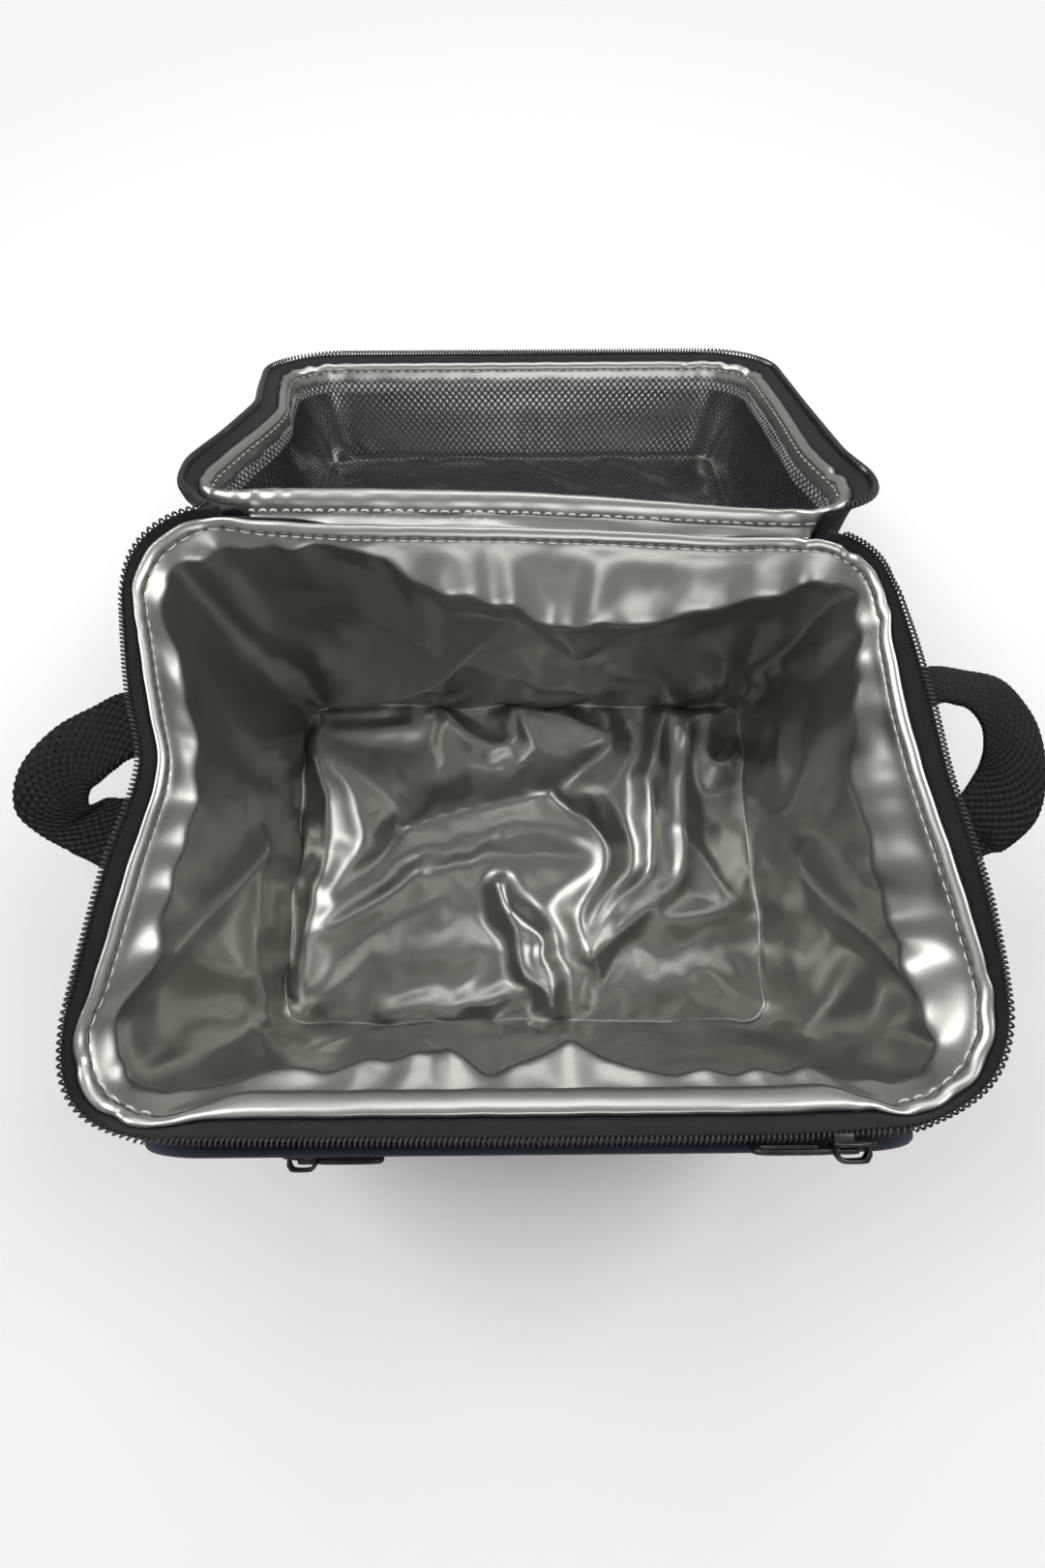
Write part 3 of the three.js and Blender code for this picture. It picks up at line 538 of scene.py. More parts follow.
def smooth_field(shape_u, shape_v, seed, period_u, count=5):
    """Smooth noise on a grid, periodic along u."""
    rng = np.random.default_rng(seed)
    u = np.linspace(0, 1, shape_u, endpoint=not period_u)[:, None]
    v = np.linspace(0, 1, shape_v)[None, :]
    total = np.zeros((shape_u, shape_v))
    for _ in range(count * 6):
        ku, kv = rng.integers(2, count * 3), rng.uniform(-3.5, 3.5)
        size = rng.uniform(0.3, 1) / (1 + 0.12 * ku)
        total += size * np.sin(2 * math.pi * (ku * u + kv * v) + rng.uniform(0, 6.3))
    return total / total.std()


class Box:
    """The place that a film lines. top and low give half length, half width and corner radius."""

    def __init__(self, top, low, z_top, z_low, shift=0.0):
        self.top, self.low, self.z_top, self.z_low = top, low, z_top, z_low
        # The middle of the floor, which may lie behind the middle of the rim
        self.middle = np.array([0.0, shift])

    def plan(self, t):
        """Half length, half width and corner radius at a share t of the way down."""
        (x, y, r), (low_x, low_y, low_r) = self.top, self.low
        return x + (low_x - x) * t, y + (low_y - y) * t, r + (low_r - r) * ease(t)

    def contact(self, points):
        """Puts points that have left the box back onto its wall or floor."""
        t = np.clip((self.z_top - points[:, 2]) / (self.z_top - self.z_low), 0, 1)
        x, y, r = self.plan(t)
        straight, middle = np.stack([x - r, y - r], -1), t[:, None] * self.middle
        off = points[:, :2] - middle
        past = np.maximum(np.abs(off) - straight, 0)
        far = np.hypot(*past.T)
        held = np.sign(off) * (straight + past * (r / np.maximum(far, 1e-9))[:, None]) + middle
        out = points.copy()
        out[:, :2] = np.where((far > r)[:, None] & (past > 0), held, points[:, :2])
        out[:, 2] = np.maximum(out[:, 2], self.z_low)
        return out

    def level_way(self, points):
        """Level unit vectors from the middle of the floor to points."""
        way = points - np.array([*self.middle, 0.0])
        way[..., 2] = 0
        return way / np.linalg.norm(way, axis=-1, keepdims=True)


def box_grid(box, nx, ny, rows, crowd):
    """Points of a film box, the numbers of its wall rows from the rim down, and those of its floor grid."""
    levels = []
    for k in range(rows + 1):
        t = (k / rows) ** crowd
        xy = round_perimeter(*box.plan(t), nx, ny) + t * box.middle
        levels.append(np.concatenate([xy, np.full((len(xy), 1), box.z_top + (box.z_low - box.z_top) * t)], 1))
    walls = np.arange((rows + 1) * len(xy)).reshape(rows + 1, len(xy))
    ids, f = -np.ones((nx + 1, ny + 1), int), np.zeros((nx + 1, ny + 1, 2))
    rim = border(np.arange(ids.size).reshape(ids.shape))
    ids.reshape(-1)[rim], f.reshape(-1, 2)[rim] = walls[-1], xy
    u, v = np.arange(nx + 1)[:, None, None] / nx, np.arange(ny + 1)[None, :, None] / ny
    coons = (1 - v) * f[:, :1] + v * f[:, -1:] + (1 - u) * f[:1] + u * f[-1:]
    coons -= (1 - u) * (1 - v) * f[0, 0] + u * (1 - v) * f[-1, 0] + (1 - u) * v * f[0, -1] + u * v * f[-1, -1]
    inside = ids < 0
    ids[inside] = walls.size + np.arange(inside.sum())
    points = np.concatenate([*levels, np.zeros((inside.sum(), 3))])
    points[ids, :2] = np.where(inside[:, :, None], coons, f)
    points[ids, 2] = box.z_low
    return points, walls, ids


def lay_folds(box, points, side, walls, ids, folds):
    """Folds the walls inwards and the floor upwards. side numbers the side of each point of a wall row."""
    flat = points[walls]
    long = side % 2 == 0
    along = np.where(long, flat[..., 0], flat[..., 1])
    fold = np.stack([folds(k, along, flat[..., 2]) for k in range(4)])
    fold = np.take_along_axis(fold, np.broadcast_to(side, walls.shape)[None], 0)[0]
    straight = np.array([(0, 1, 0), (-1, 0, 0), (0, -1, 0), (1, 0, 0)], float)[side][None]
    corner = np.abs(along) / np.where(long, *box.low[:2])
    mix = ease((corner - 0.8) / 0.2)[..., None]
    points[walls] = flat - (straight * (1 - mix) + box.level_way(flat) * mix) * fold[..., None]
    points[ids, 2] += folds(4, points[ids, 0], points[ids, 1])


def film_links(points, walls, right, ids, slack, depth):
    """Pairs of points that a film ties together, their free lengths, and how stiff each tie is."""
    links = []
    near, over, across = 1.0, 0.25, 0.35
    around, steep, floor = slack

    def tie(a, b, stiff, level_slack, steep_slack):
        d = points[b] - points[a]
        length = np.hypot(np.hypot(d[..., 0], d[..., 1]) * level_slack, d[..., 2] * steep_slack)
        links.append((a.ravel(), b.ravel(), length.ravel(), np.full(a.size, stiff)))

    eased = 1 + (around - 1) * depth
    tie(walls, right, near, eased, eased)
    tie(walls, np.roll(walls, -2, 1), over, eased, eased)
    tie(walls[:-1], walls[1:], near, 1.0, steep)
    tie(walls[:-2], walls[2:], over, 1.0, steep)
    tie(walls[:-1], right[1:], across, around, steep)
    tie(walls[1:], right[:-1], across, around, steep)
    for a, b, stiff in ((ids[:-1], ids[1:], near), (ids[:, :-1], ids[:, 1:], near),
                        (ids[:-1, :-1], ids[1:, 1:], across), (ids[1:, :-1], ids[:-1, 1:], across),
                        (ids[:-2], ids[2:], over), (ids[:, :-2], ids[:, 2:], over)):
        tie(a, b, stiff, floor, floor)
    first, second, rest, stiff = (np.concatenate(part) for part in zip(*links))
    return np.stack([first, second], -1), rest, stiff


def film_box(box, cell, slack, seed, lump, steps, rounds=8, folds=None, pull=0.10, crowd=1.0):
    """An open box of film that is a little too large for its place, settled into it.

    slack is how much too large it is round the box, up the walls and on the floor, and lump the height of
    the lumps that it starts with on the walls and on the floor. folds(side, along, z) gives how far the
    walls are folded inwards, and folds(4, x, y) the floor upwards. crowd above 1 brings the rows closer
    together near the top.
    """
    nx, ny = round(2 * box.low[0] / cell), round(2 * box.low[1] / cell)
    rows = round((box.z_top - box.z_low) / cell)
    points, walls, ids = box_grid(box, nx, ny, rows, crowd)
    right = np.roll(walls, -1, 1)
    if folds is not None:
        lay_folds(box, points, np.repeat([0, 1, 2, 3], (nx, ny, nx, ny)), walls, ids, folds)
    faces = np.concatenate([
        np.stack([walls[:-1], walls[1:], right[1:], right[:-1]], -1).reshape(-1, 4),
        np.stack([ids[:-1, :-1], ids[:-1, 1:], ids[1:, 1:], ids[1:, :-1]], -1).reshape(-1, 4)])
    # The film is tight along the rim and has its full slack eight rows below it.
    depth = np.clip(np.arange(rows + 1) / 8.0, 0, 1)[:, None] * np.ones((1, walls.shape[1]))
    edges, rest, stiff = film_links(points, walls, right, ids, slack, depth)
    weight = np.ones(len(points))
    weight[walls[:2].reshape(-1)] = 0.0
    bumpy = smooth_field(walls.shape[1], rows + 1, seed, True).T
    points[walls] -= box.level_way(points[walls]) * (lump[0] * np.abs(bumpy) * depth)[:, :, None]
    points[ids, 2] += lump[1] * np.abs(smooth_field(nx + 1, ny + 1, seed + 1, False))
    return relax(points, edges, rest, stiff, weight, steps, rounds, pull, box.contact), faces


# The liner's place: half length and width, height and middle of its floor, and height of its rim
LINER_X, LINER_Y, LINER_FLOOR, LINER_SHIFT, LINER_TOP = 105.0, 74.0, 11.0, 1.6, PART - 6.7
# Folds of the liner: height, half width and line, which runs in x and y on the floor, and in x or y and z
# on a wall
FLOOR_FOLDS = [
    (7.5, 15, [(-52, 13), (-30, 20), (-8, 25), (11, 29)]),
    (5.5, 11, [(11, 29), (22, 37), (36, 48), (40, 54), (37, 59), (26, 63), (9, 70), (-5, 73)]),
    (7.5, 13, [(11, 27), (20, 20), (29, 14), (36, 3), (35, -7), (28, -18), (24, -29), (27, -43)]),
    (7.0, 8, [(68, 73), (65, 62), (59, 32), (56, -6), (41, -21), (27, -43)]),
    (7.0, 8, [(78, 62), (74, 35), (72, 12), (69, -10), (46, -29), (29, -43)]),
    (5.2, 9, [(64, 50), (65, 20), (62, -8), (43, -26)]),
    (8.5, 9, [(-11, -13), (-7, -25), (-3, -35), (-1, -48), (10, -57)]),
    (8.0, 8, [(-6, -25), (7, -37), (6, -43), (11, -53), (11, -66)]),
    (4.5, 8, [(10, -57), (-9, -60), (-28, -64), (-60, -67)]),
    (7.0, 8, [(-103, -55), (-104, -19), (-100, 4), (-102, 17), (-98, 12), (-97, 4)]),
    (8.0, 10, [(-97, -50), (-93, -18), (-89, 1), (-90, 24), (-95, 41), (-103, 56)]),
    (4.5, 14, [(-100, 54), (-71, 36), (-61, 27), (-53, 13)]),
    (4.5, 12, [(-53, 11), (-69, -4), (-90, -22), (-97, -32)]),
    (6.0, 11, [(-47, -7), (-61, -17), (-81, -28), (-94, -33)]),
    (6.0, 17, [(-47, -7), (-29, -4), (-8, 0), (9, 0), (26, -1)]),
    (3.0, 6, [(-101, 71), (-54, 73)]),
    (3.5, 7, [(-100, 61), (-54, 64), (-46, 73)]),
    (5.5, 8, [(-41, 73), (-30, 60), (-18, 54), (-9, 53), (-5, 58), (-5, 73)]),
    (5.5, 8, [(68, 73), (77, 56)]),
    (6.0, 8, [(69, 72), (81, 67), (92, 67), (101, 71)]),
    (6.0, 9, [(90, 67), (86, 51), (90, 43), (102, 47)]),
    (5.5, 12, [(72, 12), (82, -6), (89, -20), (82, -25), (62, -28)]),
    (3.5, 16, [(-60, -45), (-20, -40), (40, -55), (80, -50)]),
    (3.0, 16, [(-90, -60), (-40, -25)]),
]
BACK_FOLDS = [
    (5.0, 11, [(-100, 21), (-77, 26), (-48, 39), (-24, 72), (-15, 86)]),
    (5.0, 8, [(9, 128), (10, 110), (20, 84)]),
    (6.0, 9, [(80, 78), (99, 52)]),
    (6.0, 9, [(97, 54), (99, 90), (92, 112)]),
    (5.0, 9, [(80, 78), (98, 32)]),
    (3.5, 9, [(47, 55), (59, 47), (72, 18)]),
    (4.0, 9, [(-96, 124), (-100, 95), (-92, 72)]),
    (3.0, 12, [(-60, 100), (-20, 60), (30, 40)]),
]
LEFT_FOLDS = [
    (6.0, 9, [(-44, 122), (-31, 105), (-16, 81), (-4, 62)]),
    (0.8, 2.5, [(-8, 128), (-3, 70), (0, 14)]),
    (3.5, 9, [(-36, 108), (-46, 100), (-50, 70)]),
    (4.0, 11, [(-16, 64), (-48, 58), (-60, 45)]),
    (4.0, 10, [(-64, 112), (-62, 80), (-68, 42)]),
    (3.0, 14, [(50, 120), (40, 70), (55, 30)]),
    (2.5, 12, [(15, 90), (20, 40)]),
]
RIGHT_FOLDS = [
    (5.5, 10, [(-10, 68), (-23, 81), (-36, 101), (-47, 118), (-54, 128)]),
    (5.0, 9, [(72, 36), (70, 60), (64, 92), (60, 118)]),
    (0.8, 2.5, [(14, 14), (9, 46), (-2, 100), (-6, 126)]),
    (4.5, 11, [(63, 64), (49, 70), (28, 61)]),
    (4.0, 9, [(-58, 79), (-68, 62)]),
    (3.5, 9, [(-64, 106), (-58, 124)]),
    (3.5, 14, [(30, 100), (10, 60), (25, 25)]),
]
FRONT_FOLDS = [
    (5.0, 7, [(-36, 79), (-22, 128)]),
    (5.0, 7, [(13, 82), (11, 126)]),
    (4.5, 9, [(-100, 56), (-84, 89)]),
    (4.5, 9, [(63, 39), (83, 62), (100, 40)]),
    (3.5, 10, [(-60, 60), (-20, 30)]),
]
# The soft roll below each rim: place along the wall, height of its crest, and how far it stands in
ROLLS = [
    [(-101, 130, 4), (-83, 132, 4), (-66, 133, 3), (-54, 133, 3), (-45, 131, 5), (-38, 127, 10),
     (-25, 125, 13), (-4, 122, 16), (22, 119, 20), (44, 121, 19), (68, 124, 14), (88, 127, 11),
     (101, 129, 7)],
    [(-66, 130, 4), (-54, 129, 6), (-35, 129, 7), (-16, 128, 8), (-1, 128, 8), (10, 129, 7), (23, 128, 8),
     (36, 129, 7), (50, 130, 5), (66, 131, 3)],
    [(-101, 129, 4), (-75, 129, 7), (-55, 129, 7), (-36, 126, 10), (-10, 129, 6), (13, 126, 10), (29, 130, 6),
     (52, 130, 6), (80, 129, 6), (101, 130, 4)],
    [(-66, 128, 4), (-50, 124, 7), (-30, 119, 10), (-10, 121, 10), (7, 120, 10), (25, 124, 7), (47, 130, 5),
     (66, 131, 3)],
]


def line_distance(a, b, line):
    """How far each point of a flat field is from a broken line."""
    best = np.full(np.shape(a), 1e9)
    for (x0, y0), (x1, y1) in zip(line[:-1], line[1:]):
        dx, dy = x1 - x0, y1 - y0
        share = np.clip(((a - x0) * dx + (b - y0) * dy) / (dx * dx + dy * dy), 0, 1)
        best = np.minimum(best, np.hypot(a - x0 - share * dx, b - y0 - share * dy))
    return best


def crests(a, b, folds):
    """Height of sharp crested folds; where folds meet, the higher one leads."""
    total = np.zeros(np.shape(a))
    for height, width, line in folds:
        curve = [p[:2] for p in spline([(*p, 0) for p in line], 6 * len(line))]
        near = np.clip(1 - line_distance(a, b, curve) / (1.7 * width), 0, 1)
        total += (height * near ** 1.5) ** 3
    return total ** (1 / 3)


def liner_folds(side, along, across):
    """Height of the liner's folds: on the floor (side 4) by x and y, on a wall by x or y and z."""
    if side == 4:
        rim = np.minimum(LINER_X - np.abs(along), LINER_Y - np.abs(across - LINER_SHIFT))
        wavy = 1.1 + np.sin(along / 13 + 1.3 * np.sin(across / 11)) + 0.6 * np.sin(across / 7.3 + along / 19)
        near = np.clip(rim / 9.0, 0, 1)
        return 1.25 * crests(along, across, FLOOR_FOLDS) * (0.35 + 0.65 * near) + 0.9 * wavy * (1 - near)
    places, heights, depths = np.array(ROLLS[side], float).T
    crest_z, deep = np.interp(along, places, heights), np.interp(along, places, depths)
    share = np.clip((LINER_TOP - across) / (LINER_TOP - crest_z), 0, 1)
    below = np.maximum(0, crest_z - across)
    roll = np.where(below > 0, deep * (0.12 + 0.88 * np.exp(-below / (6.0 + 0.8 * deep))), deep * share)
    folds = crests(along, across, (BACK_FOLDS, LEFT_FOLDS, FRONT_FOLDS, RIGHT_FOLDS)[side])
    end = (LINER_X, LINER_Y)[side % 2] - np.abs(along)
    pleats = 2.4 * np.abs(np.sin(math.pi * end / 8.5 + side)) ** 0.7
    pleats *= np.clip(1 - end / 24.0, 0, 1) * np.exp(-(LINER_TOP - across) / 16.0) * ease(share)
    pleats += 0.8 * ease(share) * np.exp(-below / 8.0) * np.sin(along / 2.9 + 2.2 * np.sin(along / 15 + side))
    rise = across - LINER_FLOOR
    low = np.clip(rise / 10.0, 0, 1) ** 0.5
    foot = np.exp(-rise / 4.0) * (1.2 + 1.1 * np.sin(along / 9 + 1.7 * np.sin(along / 23 + side)))
    return (roll + pleats + 0.9 * folds * ease((LINER_TOP - across) / 9.0)) * low + foot


def make_liner():
    box = Box((109.2, 78.2, 21.0), (LINER_X, LINER_Y, 11.0), LINER_TOP, LINER_FLOOR, LINER_SHIFT)
    slack, lump = (1.012, 1.008, 1.012), (0.8, 1.0)
    points, faces = film_box(box, 2.6, slack, 11, lump, 12, folds=liner_folds, pull=0.02, crowd=1.35)
    obj = make_mesh("liner_film", sway_body(points), faces, "foil", levels=1)
    stand_for(obj, "bag_body", "liner")


# The straight front of the rim, by arc length
FRONT_FROM = FLAT_X + 2 * ARC + 2 * FLAT_Y
FRONT_TO = LOOP - FRONT_FROM


# Body
def bead_profile(s, side, seed):
    """Padded binding as [outward, height] rows; side -1 is the lid's, upwards, which has a flap."""
    shape = [(0.2, -13.0), (0.9, -9.5), (1.05, -6.6), (0.8, -4.9), (0.1, -3.8), (-0.9, -3.4), (-2.0, -3.7),
             (-2.9, -4.5), (-3.35, -5.6), (-3.1, -6.5)]
    if side > 0:
        shape += [(-2.7, -7.6), (-2.0, -9.5), (-1.2, -12.0), (-0.4, -13.4)]
    else:
        shape += [(-3.3, -7.4), (-3.7, -9.0), (-4.0, -11.0), (-4.2, -13.5), (-3.8, -14.0), (-3.4, -11.5),
                  (-3.0, -9.5), (-2.6, -8.0)]
    shape = np.array(shape)
    rows = np.repeat(shape[None], len(s), 0)
    corner = corner_share(s, 12.0)
    ripple = wave(s, seed, (26, 14)) * 0.25 + wave(s, seed + 1, (9.0,)) * corner * 0.8
    pinch = np.maximum(0, wave(s, seed + 2, (12.0, 17.0))) ** 2 * corner
    top = np.exp(-((shape[:, 1] + 4.6) / 2.8) ** 2)
    flap = ease((-shape[:, 1] - 7.5) / 5.0) * (side < 0)
    rows[:, :, 0] += ripple[:, None] * (0.5 * top + 0.4 * flap)
    rows[:, :, 1] += ripple[:, None] * 0.4 * top - pinch[:, None] * 1.9 * top
    rows[:, :, 0] += wave(s, seed + 3, (40, 21))[:, None] * 0.4 * flap
    if side > 0:
        front = ease(np.minimum(s - FRONT_FROM, FRONT_TO - s) / 14.0)[:, None]
        under = ease((-1.5 - shape[:, 0]) / 1.8)[None]
        rows[:, :, 0] -= 2.0 * front * under
        rows[:, :, 1] -= 2.2 * front * under
    rows[:, :, 1] = PART + side * rows[:, :, 1]
    return rows


def thread_faces(first):
    """Faces of one stitch, which is five rings of six points with both ends closed."""
    ring = np.arange(6)
    return [*(grid_faces(5, 6, False, True) + first), first + ring[::-1], first + 24 + ring]


def stitches(name, s_from, s_to, pitch, out, drop, side, place, seed, length=2.7, thick=0.27):
    """A row of thread stitches along the rim."""
    rng = np.random.default_rng(seed)
    points, faces = [], []
    for m in np.arange(s_from, s_to, pitch):
        m = m + rng.uniform(-0.25, 0.25)
        ends = m + np.array([-0.5, -0.36, 0.0, 0.36, 0.5]) * length * rng.uniform(0.85, 1.1)
        base, normal = base_loop(ends)
        tilt = rng.uniform(-0.25, 0.25)
        faces += thread_faces(len(points))
        for k, (grow, lift) in enumerate(((0.25, 0.0), (0.85, 0.25), (1.0, 0.4), (0.85, 0.25), (0.25, 0.0))):
            for a in np.arange(6) / 6 * 2 * math.pi:
                o = out - lift + math.cos(a) * thick * grow
                z = PART + side * (drop + tilt * (k - 2) * 0.3) + math.sin(a) * thick * grow
                points.append((*(base[k] + normal[k] * o), z))
    return make_mesh(name, place(np.array(points)), faces, "thread")


def coil(name, s_from, s_to, side, place, out=6.9, half_out=1.15, half_up=0.95, wire=0.36, pitch=1.36):
    """The nylon spiral of one half of a zipper."""
    turns = round((s_to - s_from) / pitch)
    per = 9
    k = np.arange(turns * per + 1)
    a = 2 * math.pi * k / per
    s = s_from + (s_to - s_from) * k / (turns * per)
    base, normal = base_loop(s)
    o = out + half_out * np.cos(a) + 0.25 * np.cos(2 * a)
    z = PART - side * 1.15 + half_up * np.sin(a)
    centre = np.concatenate([base + normal * o[:, None], z[:, None]], 1)
    return tube(name, place(centre), wire, 6, "coil")


def tube(name, centre, radius, sides, material, closed=False):
    """A round tube along points, in millimetres."""
    centre = np.asarray(centre, float)
    if closed:
        tangent = np.roll(centre, -1, 0) - np.roll(centre, 1, 0)
    else:
        tangent = np.gradient(centre, axis=0)
    tangent /= np.linalg.norm(tangent, axis=1, keepdims=True)
    # Across and up, seen along the tube; where it runs upwards, its sides are found from the X axis.
    up = np.tile(np.array([[0.0, 0.0, 1.0]]), (len(centre), 1))
    up[np.abs(tangent[:, 2]) > 0.95] = (1.0, 0.0, 0.0)
    side = np.cross(tangent, up)
    side /= np.linalg.norm(side, axis=1, keepdims=True)
    lift = np.cross(side, tangent)
    a = np.arange(sides) / sides * 2 * math.pi
    ring = np.cos(a)[None, :, None] * side[:, None] + np.sin(a)[None, :, None] * lift[:, None]
    around = a * radius
    return strip(name, centre[:, None] + ring * radius, arc_lengths(centre), around, material, closed, True)


# Where the zipper starts and ends, and the stations along the whole rim and along the zipper's tape
ZIP_FROM, ZIP_TO = 98.0, LOOP - 98.0
ROUND_S, ZIP_S = np.arange(0, LOOP, 1.25), np.linspace(ZIP_FROM - 4, ZIP_TO + 4, 450)


def tape_profile(s, side, seed):
    """The zipper's tape as [outward, height] rows: up along the wall and out to the coil."""
    shape = np.array([(1.5, -22.0), (1.5, -9.0), (2.1, -6.6), (3.6, -4.6), (5.6, -3.1), (7.2, -2.2),
                      (7.2, -1.8), (5.4, -2.5), (3.3, -3.9), (1.8, -5.8), (1.1, -8.5), (1.0, -22.0)])
    rows = np.repeat(shape[None], len(s), 0)
    edge = ease((shape[:, 0] - 0.9) / 5.0)
    edge = edge * (1 - 0.8 * ease((shape[:, 0] - 5) / 2))
    rows[:, :, 1] += (0.35 * wave(s, seed, (55, 24)))[:, None] * edge
    rows[:, :, 1] = PART + side * rows[:, :, 1]
    return rows


def skins(zs, out, inner):
    """A closed profile of [outward, height]: the outer skin upwards, then the inner one back down."""
    out, inner = np.broadcast_to(out, len(zs)), np.broadcast_to(inner, len(zs))
    return np.concatenate([np.stack([out, zs], -1), np.stack([inner, zs], -1)[::-1]])


def band(name, node, s, zs, outs, thick, material, close_loop):
    """A wall of the body with thickness, its outer skin at outs from the plan at heights zs.

    Foam is squeezed thinner round the corners.
    """
    rows = np.repeat(skins(zs, outs, outs - thick)[None], len(s), 0)
    if material == "foam":
        count = len(zs)
        thin = corner_share(s, 12.0)[:, None]
        rows[:, count:, 0] += (rows[:, :count, 0][:, ::-1] - 0.5 - rows[:, count:, 0]) * thin
    rows[:, :, 0] += wall_ripple(s, np.concatenate([zs, zs[::-1]]))
    obj = sweep(name, s, rows, material, close_loop)
    stand_for(obj, "bag_body", node)


def wall_ripple(s, z):
    """How the soft walls bow out and buckle: stations by heights."""
    tall = np.sin(np.pi * np.clip(z / PART, 0, 1))[None]
    corner = corner_share(s, 20.0)[:, None]
    s2 = np.asarray(s)[:, None]
    bow = 2.4 * tall * (1 - corner)
    buckle = 0.0
    for a, b, c, d in ((3, 1.1, 0.5, 0.3), (7, -1.6, 2.0, 0.35), (12, 2.3, 4.0, 0.3), (19, -2.6, 1.0, 0.22),
                       (26, 3.1, 3.0, 0.15)):
        buckle = buckle + d * np.sin(2 * math.pi * (a * s2 / LOOP + b * z[None] / PART) + c)
    crease = np.maximum(0, np.sin(2 * math.pi * z[None] / 34 + 3 * np.sin(s2 / 17))) ** 6
    crease = 0.5 * crease * corner * tall
    return bow + buckle * tall * (1 - corner) + crease


# Heights of the rows of the foam sheets, and how thick they are there, which is less below the rim
FOAM_Z, FOAM_THICK = np.linspace(1.8, 129.5, 14), np.array([4.3] * 9 + [4.0, 3.4, 2.6, 1.8, 1.2])


def make_body():
    zs = np.concatenate([[1.6, 2.6], np.linspace(5, 130, 34), [133.0, 134.5]])
    outs = np.concatenate([[-0.9, -0.2], np.zeros(34), [0.0, -0.1]])
    band("body_fabric", "outer_wall", ROUND_S, zs, outs, 0.8, "black", True)
    # The foam sheets, by where each one starts along the plan. A side sheet leaves a gap at both ends.
    corner, front = FLAT_X + ARC, FLAT_X + ARC + 2 * FLAT_Y
    right, gap = front + 2 * corner, 0.3
    for label, start, end, count in (("back", -corner, corner, 110), ("front", front, right, 110),
                                     ("left", corner + gap, front - gap, 40),
                                     ("right", right + gap, right + 2 * FLAT_Y - gap, 40)):
        stations, outs = np.linspace(start, end, count), np.full(len(FOAM_Z), -1.2)
        band(f"foam_{label}_sheet", f"foam_{label}", stations, FOAM_Z, outs, FOAM_THICK, "foam", False)
    rim = bead_profile(ROUND_S, 1, 21)
    bead = stand_for(sweep("rim_bead", ROUND_S, rim, "binding", True), "bag_body", "rim_binding")
    for label, s_from, s_to in (("left", 0.0, FRONT_FROM - 6), ("right", FRONT_TO + 6, LOOP - 2)):
        row = stitches(f"rim_stitches_{label}", s_from, s_to, 3.8, -3.55, -5.9, 1, sway_body, 5)
        stand_for(row, "bag_body")
    tape = tape_profile(ZIP_S, 1, 31)
    stand_for(sweep("zipper_band_body", ZIP_S, tape, "tape", False), "bag_body", "zipper_tape_body")
    stand_for(coil("zipper_spiral_body", ZIP_FROM, ZIP_TO, 1, sway_body), "bag_body", "zipper_coil_body")


# Handles
def spline(points, count):
    """A smooth curve through points (Catmull-Rom), spaced by chord length."""
    p = np.asarray(points, float)
    p = np.concatenate([[2 * p[0] - p[1]], p, [2 * p[-1] - p[-2]]])
    out = []
    t = np.linspace(0, len(p) - 3 - 1e-6, count)
    for value in t:
        i = int(value)
        u = value - i
        a, b, c, d = p[i:i + 4]
        out.append(0.5 * (2 * b + (c - a) * u + (2 * a - 5 * b + 4 * c - d) * u * u
                          + (3 * b - a - 3 * c + d) * u ** 3))
    return np.array(out)


def strap(name, inner, outer, count, thick=1.8, rib=1.55):
    """A ribbed webbing strip between two edge curves."""
    a, b = spline(inner, count), spline(outer, count)
    length = arc_lengths((a + b) / 2)
    w = np.linspace(0, 1, 13)
    flat = a[:, None] * (1 - w)[None, :, None] + b[:, None] * w[None, :, None]
    along = np.gradient(flat, axis=0)
    side = np.gradient(flat, axis=1)
    normal = np.cross(along, side)
    normal /= np.linalg.norm(normal, axis=-1, keepdims=True) + 1e-9
    wave_up = 0.18 * np.sin(2 * math.pi * length / rib)[:, None] * (1 - np.abs(2 * w - 1) ** 6)[None]
    edge = (np.abs(2 * w - 1) > 0.99)[None] * 0.25 * np.sin(2 * math.pi * length / rib)[:, None]
    side_unit = side / (np.linalg.norm(side, axis=-1, keepdims=True) + 1e-9)
    flat = flat + side_unit * (edge * np.sign(2 * w - 1)[None])[..., None]
    half = thick / 2 * (1 - 0.35 * np.abs(2 * w - 1) ** 8)[None]
    top = flat + normal * (half + wave_up)[..., None]
    low = flat - normal * (half + wave_up)[..., None]
    width = np.concatenate([w * 25, 25 + w * 25])
    return strip(name, np.concatenate([top, low[:, ::-1]], 1), length, width, "webbing")


# Edges of the two handles nearer to the bag and farther from it, between their sewn ends
LEFT_INNER = [(-122, 16, 120), (-128, 12, 120), (-132, 8, 120), (-135, 6, 119),
              (-136, 3, 118), (-135, 1, 118), (-132, 1, 119), (-126, 3, 119)]
LEFT_OUTER = [(-131, 39, 116), (-139, 34, 117), (-149, 27, 118), (-157, 17, 118),
              (-160, 8, 117), (-160, 0, 114), (-154, -6, 112), (-143, -12, 112)]
RIGHT_INNER = [(127, 29, 125), (134, 29, 126), (139, 27, 125), (142, 22, 124),
               (142, 16, 123), (141, 12, 122), (139, 8, 121), (133, 1, 121),
               (126, -3, 120)]
RIGHT_OUTER = [(136, 48, 111), (148, 46, 112), (156, 42, 115), (161, 35, 116),
               (165, 24, 116), (165, 9, 115), (160, -5, 114), (150, -14, 112),
               (143, -16, 112)]


